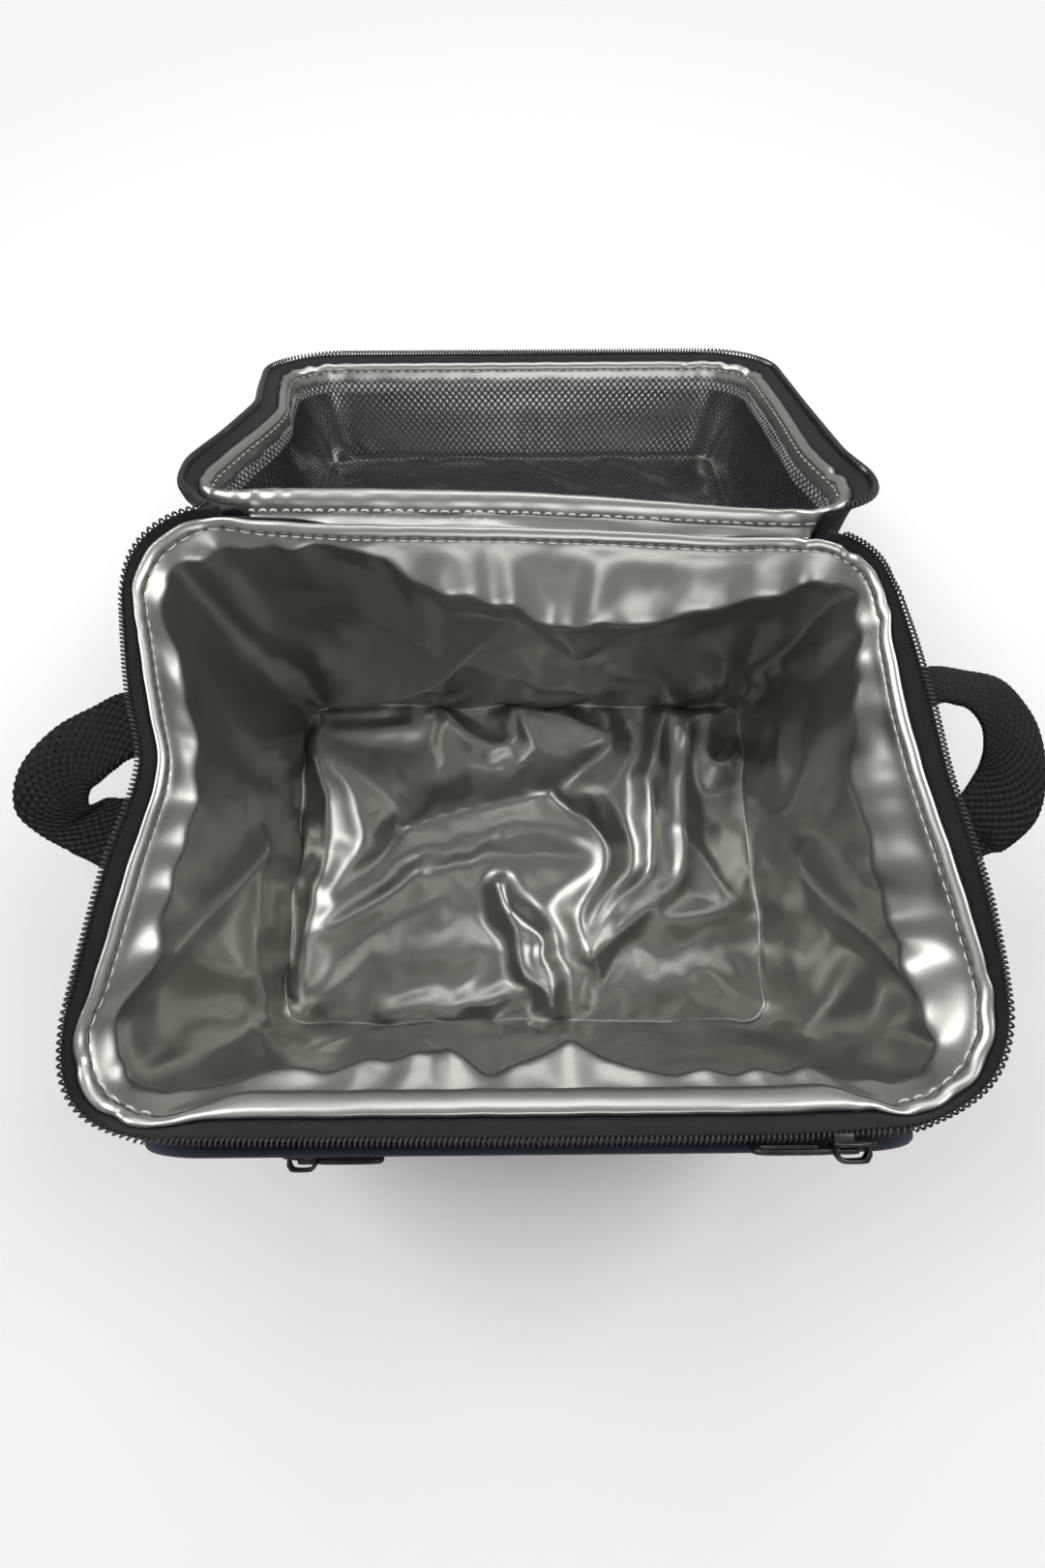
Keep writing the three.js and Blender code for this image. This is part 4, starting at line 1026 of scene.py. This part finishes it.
def make_handle_end(label, side, end, y):
    """The end of a handle, sewn down on the wall with its middle at y."""
    zs = np.linspace(119.5, 74.0, 40)
    s, _, _ = station_of(np.full(40, side * HALF_X), np.full(40, y))
    bow = np.array([wall_ripple(np.array([q]), np.array([z]))[0, 0] for q, z in zip(s, zs)])
    xs = side * (HALF_X + 1.3 + bow)
    front, back = (sway_body(np.stack([xs, np.full(40, y + half), zs], -1)) for half in (-12.5, 12.5))
    stand_for(strap(f"{label}_handle_end_{end}", front, back, 90), "bag_body", f"{label}_handle_tab_{end}")


def make_handles():
    for side, label, inner, outer in ((-1, "left", LEFT_INNER, LEFT_OUTER),
                                      (1, "right", RIGHT_INNER, RIGHT_OUTER)):
        x = side * 115.2
        roots = sway_body(np.array([(x, 16.5, 118.4), (x, 40.0, 117.0), (x, -2.0, 118.4), (x, -26.0, 117.0)]))
        deep = roots + np.array([-side * 1.0, 0, 0])
        obj = strap(f"{label}_handle_strap", [deep[0], *inner, deep[2]], [deep[1], *outer, deep[3]], 150)
        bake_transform(obj)
        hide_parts(f"{label}_handle")
        make_handle_end(label, side, "back", 28.0)
        make_handle_end(label, side, "front", -14.0)


# Base and front pocket
def plan_grid(hx, hy, r, xs, ys):
    """A grid of points over a rounded rectangle, with its corners drawn into arcs."""
    x, y = np.meshgrid(xs, ys, indexing="ij")
    u = np.clip((np.abs(x) - (hx - r)) / r, 0, 1)
    v = np.clip((np.abs(y) - (hy - r)) / r, 0, 1)
    nx = np.where(u > 0, np.sign(x) * (hx - r + r * u * np.sqrt(1 - v * v / 2)), x)
    ny = np.where(v > 0, np.sign(y) * (hy - r + r * v * np.sqrt(1 - u * u / 2)), y)
    return nx, ny


def edge_distance(hx, hy, r, x, y):
    """How far a point lies inside a rounded rectangle."""
    qx, qy = np.abs(x) - (hx - r), np.abs(y) - (hy - r)
    return r - np.hypot(np.maximum(qx, 0), np.maximum(qy, 0)) - np.minimum(np.maximum(qx, qy), 0)


# Half length, half height, corner radius and middle height of the pocket, and how far from the front
# wall its edge and its panel lie
POCKET_HX, POCKET_HY, POCKET_R, POCKET_MID = 108.0, 54.0, 22.0, 69.0
POCKET_DEPTH, PANEL_FACE = 14.0, 17.7
# The pocket's zipper: height above the pocket's middle, width of its slot, length, and width of a tape
ZIP_Y, ZIP_SLOT, ZIP_LENGTH, ZIP_TAPE = 25.5, 4.6, 152.0, 10.5


def pocket_place(points):
    """Pocket points (across, up, outwards from the front wall) in the bag's frame."""
    return np.stack([points[:, 0], -HALF_Y - points[:, 2], POCKET_MID + points[:, 1]], -1)


def panel_out(x, y):
    """How far the soft pocket panel stands out from the front wall."""
    d = edge_distance(POCKET_HX, POCKET_HY, POCKET_R, x, y)
    flat = ease((12 - y) / 30)
    pillow = 1.6 * (1 - (x / POCKET_HX) ** 2) * (1 - (y / POCKET_HY) ** 2) * flat
    soft = 0.6 * np.sin(x / 21 + 1.3 * np.sin(y / 17)) * np.sin(y / 15 + 0.7) * flat * ease(d / 14)
    tuck = 0.5 * np.sin(x / 3.9) * ease(1 - d / 7)
    return POCKET_DEPTH + 0.3 + (PANEL_FACE - POCKET_DEPTH - 0.6) * ease(d / 16) + pillow + soft + tuck * 0.5


def make_base():
    half_x, half_y = HALF_X - 0.8, HALF_Y - 0.8
    xs, ys = np.linspace(-half_x, half_x, 40), np.linspace(-half_y, half_y, 30)
    x, y = plan_grid(half_x, half_y, RAD - 0.6, xs, ys)
    top = np.stack([x, y, np.full_like(x, 1.3)], -1)
    low = np.stack([x, y, 0.15 + 0.05 * np.sin(x / 9) * np.sin(y / 8)], -1)
    points = np.concatenate([top.reshape(-1, 3), low.reshape(-1, 3)])
    quads, rim = grid_faces(*x.shape), border(np.arange(x.size).reshape(x.shape))
    after = np.roll(rim, -1)
    edge = np.stack([rim, after, after + x.size, rim + x.size], -1)
    faces = np.concatenate([quads[:, ::-1], quads + x.size, edge])
    uv = points[faces.reshape(-1), :2] * 0.001
    stand_for(make_mesh("base_fabric", points, faces, "black", uv, smooth=False), "bag_body", "base_panel")
    p, n = base_loop(ROUND_S)
    ring = np.concatenate([p + n * 2.0, np.full((len(p), 1), 2.05)], 1)
    stand_for(tube("base_cord_piping", ring, 1.72, 10, "black", closed=True), "bag_body", "base_piping")
    rings = [(6.4, 2.5), (5.8, 3.4), (5.8, 5.2), (6.6, 6.1), (12.0, 6.3), (40.0, 6.3), (70.0, 6.3)]
    pad = rounded_disc("foam_base_sheet", rings, "foam", sway_body, "bag_body", "foam_base")


def pocket_ring(inset, out):
    """Points round the pocket, inset from its edge, standing out from the front wall by out."""
    xy = round_perimeter(POCKET_HX - inset, POCKET_HY - inset, POCKET_R - inset, 90, 44)
    return np.concatenate([xy, np.broadcast_to(np.asarray(out, float), (len(xy),))[:, None]], 1)


def make_pocket_side():
    """The gusset: its outer skin from the front wall to the panel, and its inner skin back again."""
    base, normal = base_loop(np.linspace(FRONT_FROM - 36, FRONT_TO + 36, 300))
    skin = base - normal * 0.3
    wall = []
    for across, up, _ in pocket_ring(0, 0):
        line = sway_body(np.concatenate([skin, np.full((len(skin), 1), POCKET_MID + up)], 1))
        wall.append(-HALF_Y - np.interp(across, line[:, 0], line[:, 1]))
    wall = np.array(wall)
    rows = []
    for share, inset in [(k / 9, 0.0) for k in range(10)] + [(1 - k / 9, 0.8) for k in range(10)]:
        ring = pocket_ring(inset, wall + (POCKET_DEPTH - wall) * share)
        slack = 1.3 * math.sin(math.pi * share) * np.sin(np.arange(len(ring)) / 5.1 + 1.5 * np.sin(share * 3))
        ring[:, :2] *= 1 - 0.004 * slack[:, None]
        rows.append(pocket_place(ring))
    deep, around = np.arange(len(rows)) * 1.6, np.arange(len(wall)) * 2.4
    side = strip("pocket_side_fabric", np.array(rows), deep, around, "black", close_rows=True)
    stand_for(side, "bag_body", "pocket_gusset")


def make_pocket_panel():
    half, slot_x = ZIP_SLOT / 2, ZIP_LENGTH / 2 - ZIP_TAPE
    xs = np.unique(np.concatenate([np.linspace(-POCKET_HX, POCKET_HX, 91), [-slot_x, slot_x]]))
    ys = np.unique(np.concatenate([np.linspace(-POCKET_HY, ZIP_Y - half, 41),
                                   np.linspace(ZIP_Y + half, POCKET_HY, 14)]))
    x, y = plan_grid(POCKET_HX, POCKET_HY, POCKET_R, xs, ys)
    points = np.stack([x, y, panel_out(x, y)], -1).reshape(-1, 3)
    quads = grid_faces(len(xs), len(ys))
    mid = points[quads].mean(1)
    quads = quads[~((np.abs(mid[:, 0]) < slot_x) & (np.abs(mid[:, 1] - ZIP_Y) < half))]
    uv = points[quads.reshape(-1), :2] * 0.001
    stand_for(make_mesh("pocket_front_fabric", pocket_place(points), quads, "navy", uv), "bag_body",
              "pocket_panel")
    ring = pocket_place(pocket_ring(-1.4, POCKET_DEPTH))
    stand_for(tube("pocket_cord_piping", ring, 1.55, 10, "navy", closed=True), "bag_body", "pocket_piping")


def make_pocket_zipper(label, side):
    """The half of the pocket's zipper above (side 1) or below (side -1) its slot: tape, coil and seams."""
    half, pitch, turn = ZIP_SLOT / 2, 1.25, 9
    across = np.linspace(-ZIP_LENGTH / 2, ZIP_LENGTH / 2, 100)
    near, far = ZIP_Y + side * half, ZIP_Y + side * (half + ZIP_TAPE)
    ups = np.linspace(near, far, 8)

    def section(k):
        x = np.full(8, across[k])
        front = np.stack([x, ups, panel_out(x, ups) + 0.75], -1)
        back = front[::-1] - np.array([0, 0, 0.45])
        return pocket_place(np.concatenate([front, back]))

    stand_for(loft_open(f"pocket_band_{label}", across, section, "tape"), "bag_body", f"pocket_tape_{label}")
    length = ZIP_LENGTH - 4
    k = np.arange(round(length / pitch) * turn + 1)
    a = 2 * math.pi * k / turn
    x = length * (k / k[-1] - 0.5)
    up = ZIP_Y + side * (half + 0.8 - 0.75 * np.cos(a))
    centre = pocket_place(np.stack([x, up, 19.55 + 0.55 * np.sin(a)], -1))
    stand_for(tube(f"pocket_spiral_{label}", centre, 0.3, 6, "coil"), "bag_body", f"pocket_coil_{label}")
    for row, row_up in enumerate((near + side * 4.2, far - side * 1.4)):
        seam(f"pocket_seam_{label}_{row}", across[2:-2], row_up)


def make_pocket():
    make_pocket_side()
    make_pocket_panel()
    make_pocket_zipper("upper", 1)
    make_pocket_zipper("lower", -1)


def seam(name, across, up, length=2.2, pitch=3.4, thick=0.2):
    """A row of dark stitches on the pocket's zipper tape."""
    points, faces = [], []
    for m in np.arange(across[0], across[-1], pitch):
        faces += thread_faces(len(points))
        for share, lift in zip(np.linspace(-0.5, 0.5, 5), (-0.1, 0.12, 0.2, 0.12, -0.1)):
            x = m + share * length
            out = float(panel_out(np.array([x]), np.array([up]))[0]) + 0.78 + lift
            points += [(x, up + thick * math.cos(a), out + thick * math.sin(a))
                       for a in np.arange(6) / 3 * math.pi]
    stand_for(make_mesh(name, pocket_place(np.array(points)), faces, "webbing"), "bag_body")


# Sliders and pull tabs
def rounded_solid(name, build, body, node, width=0.35):
    """A small metal piece from a bmesh builder, with rounded edges."""
    bm = bmesh.new()
    build(bm)
    bmesh.ops.recalc_face_normals(bm, faces=bm.faces)
    mesh = bpy.data.meshes.new(name)
    bm.to_mesh(mesh)
    bm.free()
    mesh.materials.append(MAT["metal"])
    mesh.shade_smooth()
    obj = bpy.data.objects.new(name, mesh)
    bpy.context.scene.collection.objects.link(obj)
    bevel = obj.modifiers.new("bevel", "BEVEL")
    bevel.width = width * 0.001
    bevel.segments = 3
    bevel.limit_method = "ANGLE"
    bevel.harden_normals = False
    return stand_for(obj, body, node)


def prism(bm, outline, z0, z1, place):
    """An extruded outline, in millimetres, placed into the bag's frame."""
    def point(x, y, z):
        return [c * 0.001 for c in place(x, y, z)]
    low = [bm.verts.new(point(x, y, z0)) for x, y in outline]
    top = [bm.verts.new(point(x, y, z1)) for x, y in outline]
    bm.faces.new(list(reversed(low)))
    bm.faces.new(top)
    for k in range(len(outline)):
        m = (k + 1) % len(outline)
        bm.faces.new([low[k], low[m], top[m], top[k]])


def ring_prism(bm, outer, inner, z0, z1, place):
    """An extruded outline with a hole of as many points."""
    def row(points, z):
        return [bm.verts.new([c * 0.001 for c in place(x, y, z)]) for x, y in points]
    a, b, c, d = row(outer, z0), row(outer, z1), row(inner, z1), row(inner, z0)
    for k in range(len(outer)):
        m = (k + 1) % len(outer)
        for p, q in ((a, b), (b, c), (c, d), (d, a)):
            bm.faces.new([p[k], p[m], q[m], q[k]])


def oval(cx, cy, rx, ry, count, power):
    """Points of an oval, which a power above 2 makes squarer."""
    a = (np.arange(count) + 0.5) / count * 2 * math.pi
    x, y = (np.sign(way) * np.abs(way) ** (2 / power) for way in (np.cos(a), np.sin(a)))
    return list(zip(cx + rx * x, cy + ry * y))


def slider_builder(place, lip_in, back=0.0):
    """A slider: plate, the two lips that hold the coils, and the bridge of the pull tab."""
    side = lip_in + 1.6

    def build(bm):
        half, nose = 5.5, side * 0.62
        outline = [(-half, -nose * 0.8), (-half + 0.8, -nose), (0, -side), (half - 1.2, -side + 0.3),
                   (half, -side + 1.4), (half, side - 1.4), (half - 1.2, side - 0.3), (0, side),
                   (-half + 0.8, nose), (-half, nose * 0.8)]
        prism(bm, outline, back, 1.5, place)
        for lo, hi in ((-lip_in - 0.8, -lip_in), (lip_in, lip_in + 0.8)):
            prism(bm, [(0.3, lo), (half - 0.3, lo), (half - 0.3, hi), (0.3, hi)], -1.5, back + 0.3, place)

        def bridge(x, y, z):
            return place(x, z, y)
        # Half of the bridge's arch, outside and inside, from its foot to the middle of its top
        half_out = [(4.5, 1.4), (4.5, 4.0), (3.3, 5.6), (1.5, 5.8)]
        half_in = [(3.5, 1.4), (3.5, 3.4), (2.6, 4.6), (1.2, 4.8)]
        arch_out, arch_in = ([(-x, z) for x, z in arch] + arch[::-1] for arch in (half_out, half_in))
        ring_prism(bm, arch_out, arch_in, -1.2, 1.2, bridge)
    return build


def pull_builder(place):
    """A pull tab along +X from its hook, with a hole for the bridge and a long window."""
    def build(bm):
        ring_prism(bm, oval(2.6, 0, 3.3, 3.0, 16, 3.0), oval(3.7, 0, 1.9, 2.0, 16, 3.0), -0.55, 0.55, place)
        ring_prism(bm, oval(15.2, 0, 9.9, 3.25, 24, 4.0), oval(15.6, 0, 7.4, 1.5, 24, 4.0), -0.6, 0.6, place)
        ring_prism(bm, oval(15.6, 0, 7.5, 1.6, 24, 4.0), oval(15.6, 0, 6.9, 1.1, 24, 4.0), -0.25, 0.25, place)
    return build


def make_sliders():
    mx, my = FLAT_X - 10.0, -HALF_Y - 8.3

    def main(x, y, z):
        return mx - x, my - z, PART - y
    rounded_solid("main_slider_metal", slider_builder(main, 2.6, 0.5), "main_slider", "main_slider")

    def main_pull(x, y, z):
        return main(x - 0.6, y, z + 1.5 + 1.15)
    rounded_solid("main_pull_metal", pull_builder(main_pull), "main_pull", "main_pull", 0.25)
    px, pz = (11.0 - ZIP_LENGTH) / 2 + 2.0, 20.7

    def small(x, y, z):
        return px + x, -HALF_Y - (pz + z), POCKET_MID + ZIP_Y + y
    shape = slider_builder(small, ZIP_SLOT / 2 + 1.9)
    rounded_solid("pocket_slider_metal", shape, "pocket_slider", "pocket_slider")

    def small_pull(x, y, z):
        return small(x - 0.6, y, z + 1.5 + 1.15)
    rounded_solid("pocket_pull_metal", pull_builder(small_pull), "pocket_pull", "pocket_pull", 0.25)


# Floor and light
def level_colour(level):
    return (level, level, level, 1)


# Levels of grey of the floor: where the camera sees it, and as it throws light back onto the bag
SEEN_LEVEL, BOUNCE_LEVEL, WORLD_STRENGTH = 0.93, 0.30, 0.26
# How far out, in metres, the floor starts to fade into an even glow, and how steeply it does
FADE_FROM, FADE_STEEP = 0.32, 3.5


def make_floor():
    """A white floor that fades into the background far from the bag."""
    mesh = bpy.data.meshes.new("floor")
    r = 3.0
    mesh.from_pydata([(-r, -r, 0), (r, -r, 0), (r, r, 0), (-r, r, 0)], [], [(0, 1, 2, 3)])
    floor = bpy.data.objects.new("floor", mesh)
    bpy.context.scene.collection.objects.link(floor)
    m = Nodes("floor_white")
    m.set(Roughness=0.9)
    path = m.add("ShaderNodeLightPath")
    mix = m.add("ShaderNodeMix", data_type="RGBA")
    mix.inputs["A"].default_value = level_colour(BOUNCE_LEVEL)
    mix.inputs["B"].default_value = level_colour(SEEN_LEVEL)
    m.link(path.outputs["Is Camera Ray"], mix.inputs["Factor"])
    m.link(mix.outputs["Result"], m.bsdf.inputs["Base Color"])
    place = m.add("ShaderNodeNewGeometry")
    length = m.add("ShaderNodeVectorMath", operation="LENGTH")
    m.link(place.outputs["Position"], length.inputs[0])
    far = m.math("MULTIPLY", m.math("SUBTRACT", length.outputs["Value"], FADE_FROM), FADE_STEEP)
    far = m.math("MINIMUM", m.math("MAXIMUM", far, 0.0), 1.0)
    glow = m.add("ShaderNodeEmission", Color=level_colour(SEEN_LEVEL))
    blend = m.add("ShaderNodeMixShader")
    m.link(m.math("MULTIPLY", far, path.outputs["Is Camera Ray"]), blend.inputs[0])
    m.link(m.bsdf.outputs[0], blend.inputs[1])
    m.link(glow.outputs[0], blend.inputs[2])
    m.link(blend.outputs[0], m.tree.nodes["Material Output"].inputs["Surface"])
    mesh.materials.append(m.mat)


def make_world():
    """White surroundings, brighter where the camera sees them than where they light the bag."""
    world = bpy.data.worlds.new("world")
    world.use_nodes = True
    tree = world.node_tree
    lit, seen = tree.nodes["Background"], tree.nodes.new("ShaderNodeBackground")
    path, mix = tree.nodes.new("ShaderNodeLightPath"), tree.nodes.new("ShaderNodeMixShader")
    tree.links.new(path.outputs["Is Camera Ray"], mix.inputs[0])
    for k, (node, strength) in enumerate(((lit, WORLD_STRENGTH), (seen, SEEN_LEVEL))):
        node.inputs["Color"].default_value = level_colour(1)
        node.inputs["Strength"].default_value = strength
        tree.links.new(node.outputs[0], mix.inputs[k + 1])
    tree.links.new(mix.outputs[0], tree.nodes["World Output"].inputs["Surface"])
    bpy.context.scene.world = world


def make_lamp(name, at, power, aim=(0, 0, 0.1), size=0.8):
    light = bpy.data.lights.new(name, "AREA")
    light.energy, light.size = power, size
    lamp = bpy.data.objects.new(name, light)
    lamp.location = at
    lamp.rotation_euler = (Vector(aim) - Vector(at)).to_track_quat("-Z", "Y").to_euler()
    bpy.context.scene.collection.objects.link(lamp)


def make_stage():
    make_floor()
    make_world()
    make_lamp("left", (-1.0, 0.5, 1.15), 12.0)
    make_lamp("right", (0.95, 0.45, 1.15), 10.5)
    make_lamp("front", (0.1, -1.25, 1.15), 4.5)
    make_lamp("back", (0.0, 1.15, 1.1), 5.0, (0, -0.08, 0.12), 0.9)
    bpy.context.scene.view_settings.view_transform = "Standard"


# Hinge
def loft_open(name, stations, section, material):
    """Lofts closed sections of points, one for each station, into a strip with thickness."""
    rows = np.array([section(k) for k in range(len(stations))])
    return strip(name, rows, stations, arc_lengths(rows[0]), material)


def thick_path(path, thick):
    """A closed section round a path in the YZ plane; each row is x, y, z."""
    d = np.gradient(path, axis=0)
    normal = np.stack([np.zeros(len(path)), -d[:, 2], d[:, 1]], -1)
    normal /= np.linalg.norm(normal, axis=1, keepdims=True)
    return np.concatenate([path + normal * thick / 2, (path - normal * thick / 2)[::-1]])


def make_hinge():
    """The two strips across the hinge. Each has a part on the body and a part on the lid, joined straight."""
    def line(xs, place, out, z):
        base, normal = base_loop(-xs)
        out, z = np.broadcast_to(out, len(xs))[:, None], np.broadcast_to(z, len(xs))[:, None]
        return place(np.concatenate([base + normal * out, z], 1))

    def join(obj):
        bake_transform(obj)

    # The silver strip comes out from behind the body's bead, sags, and ends on the lid's bead.
    xs = np.linspace(-93.0, 93.0, 130)
    bead, stitch = line(xs, sway_body, 0.7, 133.5), line(xs, lid_place, 0.9, PART + 10.4)
    sag = 0.9 + 0.5 * np.sin(xs / 17) + 0.35 * np.sin(xs / 6.3 + 1)

    def inner(k):
        a = bead[k] + np.array([0, -0.4, -5.0])
        b = bead[k] + np.array([0, 0.6, -2.8])
        d = stitch[k] + np.array([0, 0.2, 0.7])
        c = 0.4 * b + 0.6 * d + np.array([0, 0.3, -0.9 - sag[k]])
        e = stitch[k] + np.array([0, 2.0, 2.2])
        path = [spline([a, 0.5 * (a + b) + np.array([0, 0.2, 0]), b], 6), spline([c, d, e], 9)]
        return thick_path(np.concatenate(path), 0.5)

    obj = loft_open("hinge_inner_fabric", xs, inner, "binding")
    join(obj)
    # The black strip lies outside it, from the wall of the body to the wall of the lid.
    xs = np.linspace(-95.0, 95.0, 140)
    left, right = ease((-xs - 50) / 25), ease((xs - 50) / 25)
    top_out, top_up = 2.6 + left + 2.6 * right, 132.5 + 3.0 * left + 1.5 * right
    body_shape = ((0.7, 127.5), (0.5 * (0.7 + top_out), 0.5 * (127.5 + top_up)), (top_out, top_up))
    body_rows = [line(xs, sway_body, out, z) for out, z in body_shape]
    lid_shape = ((4.5 + 1.7 * right - 1.9 * left, 16.0), (1.2 + 0.6 * right, 20.5), (0.5, 25.0))
    lid_rows = [line(xs, lid_place, out, PART + rise) for out, rise in lid_shape]

    def outer(k):
        path = [spline([row[k] for row in body_rows], 6), spline([row[k] for row in lid_rows], 9)]
        return thick_path(np.concatenate(path), 0.6)

    obj = loft_open("hinge_outer_fabric", xs, outer, "black")
    join(obj)
    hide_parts("hinge_strip_body", "hinge_strip_lid")


# Lid
def net_sheet(name, columns, rows, surface, closed):
    """A net of diamond holes laid on surface(u, v), with u and v counted in cells."""
    steps = columns if closed else columns + 1

    def node(i, j):
        return (i % columns if closed else i) + j * steps
    jj, ii = np.meshgrid(np.arange(rows + 1), np.arange(steps), indexing="ij")
    nodes = surface(ii + 0.5 * (jj % 2), jj.astype(float)).reshape(-1, 3)
    j, i = np.meshgrid(np.arange(1, rows), np.arange(columns if closed else columns - 1), indexing="ij")
    j, i = j.reshape(-1), i.reshape(-1)
    shift = j % 2
    left, right = node(i, j), node(i + 1, j)
    up, low = node(i + shift, j + 1), node(i + shift, j - 1)
    ring = np.stack([left, low, right, up], -1)
    a = nodes[ring]
    mids = (a + np.roll(a, -1, 1)) / 2
    centre = a.mean(1, keepdims=True)
    outer = np.stack([a, mids], 2).reshape(-1, 8, 3)
    hole = np.where((np.arange(8) % 2 == 0)[None, :, None], 0.66, 0.71)
    inner = centre + (outer - centre) * hole
    normal = np.cross(a[:, 2] - a[:, 0], a[:, 3] - a[:, 1])
    normal /= np.linalg.norm(normal, axis=1, keepdims=True) + 1e-9
    outer = outer + normal[:, None] * 0.16
    points = np.concatenate([outer, inner], 1).reshape(-1, 3)
    first = (np.arange(len(ring)) * 16)[:, None, None]
    return make_mesh(name, points, (first + grid_faces(2, 8, False, True)).reshape(-1, 4), "mesh")


# Size of a cell of the net, how many cells the flat net has, and how many lie round its walls
NET_X, NET_Y, NET_COLUMNS, NET_ROWS, NET_ROUND = 3.0, 2.2, 62, 56, 230


def net_wave(x, y):
    """Loose waves of the net, in millimetres of rise."""
    slow = 1.6 * np.sin(y / 9.5 + 0.9 * np.sin(x / 31)) + 0.9 * np.sin(x / 23 + y / 14 + 1.2)
    return slow + 0.4 * np.sin(x / 7.3 + 2 * np.sin(y / 11))


def make_net():
    low, high, wall_in, floor_in = 9.0, 39.0, 4.4, 18.5

    def floor_point(u, v):
        x = (u - 0.5 * NET_COLUMNS) * NET_X
        y = -64.0 + v * NET_Y
        return lid_place_all(np.stack([x, y, PART + high + net_wave(x, y) * 0.8], -1))

    def wall_point(u, v):
        t = v / 20.0
        s = u * LOOP / NET_ROUND
        p, n = base_loop(s)
        inset = wall_in + (floor_in - wall_in) * t
        rise = low + (high + 0.6 - low) * t
        push = 0.9 * np.sin(s / 9 + 2 * np.sin(t * 3)) * np.sin(np.pi * t)
        xy = p - n * (inset + push)[..., None]
        return lid_place_all(np.concatenate([xy, (PART + rise)[..., None]], -1))

    floor = net_sheet("net_flat", NET_COLUMNS, NET_ROWS, floor_point, False)
    walls = net_sheet("net_walls", NET_ROUND, 21, wall_point, True)
    stand_for(floor, "lid", "mesh_lining")
    stand_for(walls, "lid", "mesh_lining")


def lid_place_all(points):
    """The same for an array of any shape."""
    return lid_place(points.reshape(-1, 3)).reshape(points.shape)


def rounded_disc(name, rings, material, place, body, node, steps=260):
    """A panel made of rounded outlines, each given as inset and height, shrinking to the middle."""
    p, n = base_loop(np.linspace(0, LOOP, steps, endpoint=False))
    rows = []
    for inset, z in rings:
        keep = min(inset, RAD - 4)
        half = np.array([HALF_X, HALF_Y])
        xy = (p - n * keep) * (half - inset) / (half - keep)
        rows.append(np.concatenate([xy, np.full((steps, 1), z)], 1))
    flat = np.concatenate(rows)
    bumps = 0.7 * np.sin(flat[:, 0] / 19 + 1.1 * np.sin(flat[:, 1] / 23)) + 0.5 * np.sin(flat[:, 1] / 13 + 2)
    flat[:, 2] += bumps * np.repeat([min(1.0, r[0] / 20) for r in rings], steps)
    quads, middle = grid_faces(len(rings), steps, False, True), (len(rings) - 1) * steps + np.arange(steps)
    uv = flat[np.concatenate([quads.reshape(-1), middle]), :2] * 0.001
    return stand_for(make_mesh(name, place(flat), [*quads, middle], material, uv), body, node)


def lid_sweep(name, node, profile, material):
    """A part of the lid that goes all round it, with one profile or one for each station."""
    rows = profile if profile.ndim == 3 else np.repeat(profile[None], len(ROUND_S), 0)
    return stand_for(sweep(name, ROUND_S, rows, material, True, lid_place), "lid", node)


def make_lid_fabric():
    zs = PART + np.concatenate([[7.0], np.linspace(9, 43, 12), [44.0]])
    rows = np.repeat(skins(zs, 0.0, -0.8)[None], len(ROUND_S), 0)
    tall = np.sin(np.pi * np.clip((rows[:, :, 1] - PART) / 44, 0, 1))
    rows[:, :, 0] += 0.8 * wave(ROUND_S, 77, (48, 22))[:, None] * tall
    lid_sweep("lid_side_fabric", "lid_wall", rows, "black")
    rings = [(0.0, 44.3), (1.2, 46.0), (3.2, 48.6), (6.0, 49.9)] + [(10 + 6 * k, 50.3) for k in range(11)]
    rounded_disc("lid_top_fabric", [(inset, PART + rise) for inset, rise in rings], "navy", lid_place, "lid",
                 "lid_top")
    a = np.arange(12) / 12 * 2 * math.pi
    ring = np.stack([1.9 + 1.6 * np.cos(a), PART + 44 + 1.6 * np.sin(a)], -1)[::-1]
    lid_sweep("lid_edge_piping", "lid_piping", ring, "black")


def make_lid():
    make_lid_fabric()
    foam = skins(PART + np.linspace(11.5, 38, 8), -1.2, -5.0)
    pad = lid_sweep("lid_side_foam", "lid_foam_walls", foam, "foam")
    rings = [(inset, PART + 48.0) for inset in (12.0, 40.0, 70.0)]
    pad = rounded_disc("lid_top_foam", rings, "foam", lid_place, "lid", "lid_foam_top")
    bead = lid_sweep("lid_bead", "lid_binding", bead_profile(ROUND_S, -1, 51), "binding")
    stand_for(stitches("lid_stitches", 100.0, LOOP - 100, 4.0, -3.1, -6.6, -1, lid_place, 6), "lid")
    stand_for(stitches("lid_stitches_back", -92.0, 92.0, 3.8, 1.5, -7.7, -1, lid_place, 8), "lid")
    tape = sweep("zipper_band_lid", ZIP_S, tape_profile(ZIP_S, -1, 61), "tape", False, lid_place)
    stand_for(tape, "lid", "zipper_tape_lid")
    stand_for(coil("zipper_spiral_lid", ZIP_FROM, ZIP_TO, -1, lid_place), "lid", "zipper_coil_lid")
    # The film settles with its floor down and is then turned over. Its rim lies 13 mm above the line where
    # body and lid part, and its floor 44 mm.
    box = Box((107.5, 76.5, 19.0), (101.0, 70.5, 13.0), -13.0, -44.0)
    points, faces = film_box(box, 4.4, (1.01, 1.008, 1.03), 31, (0.4, 1.8), 60)
    points = points * np.array([1, 1, -1]) + np.array([0, 0, PART])
    # The lid's film takes the darker copy of the foil, which paints the net's shade into its colour.
    obj = make_mesh("lid_film", lid_place(points), faces, "shaded_foil", levels=1)
    stand_for(obj, "lid", "lid_liner")
    make_net()


make_body()
make_liner()
make_hinge()
make_lid()
make_handles()
make_base()
make_pocket()
make_sliders()
make_stage()
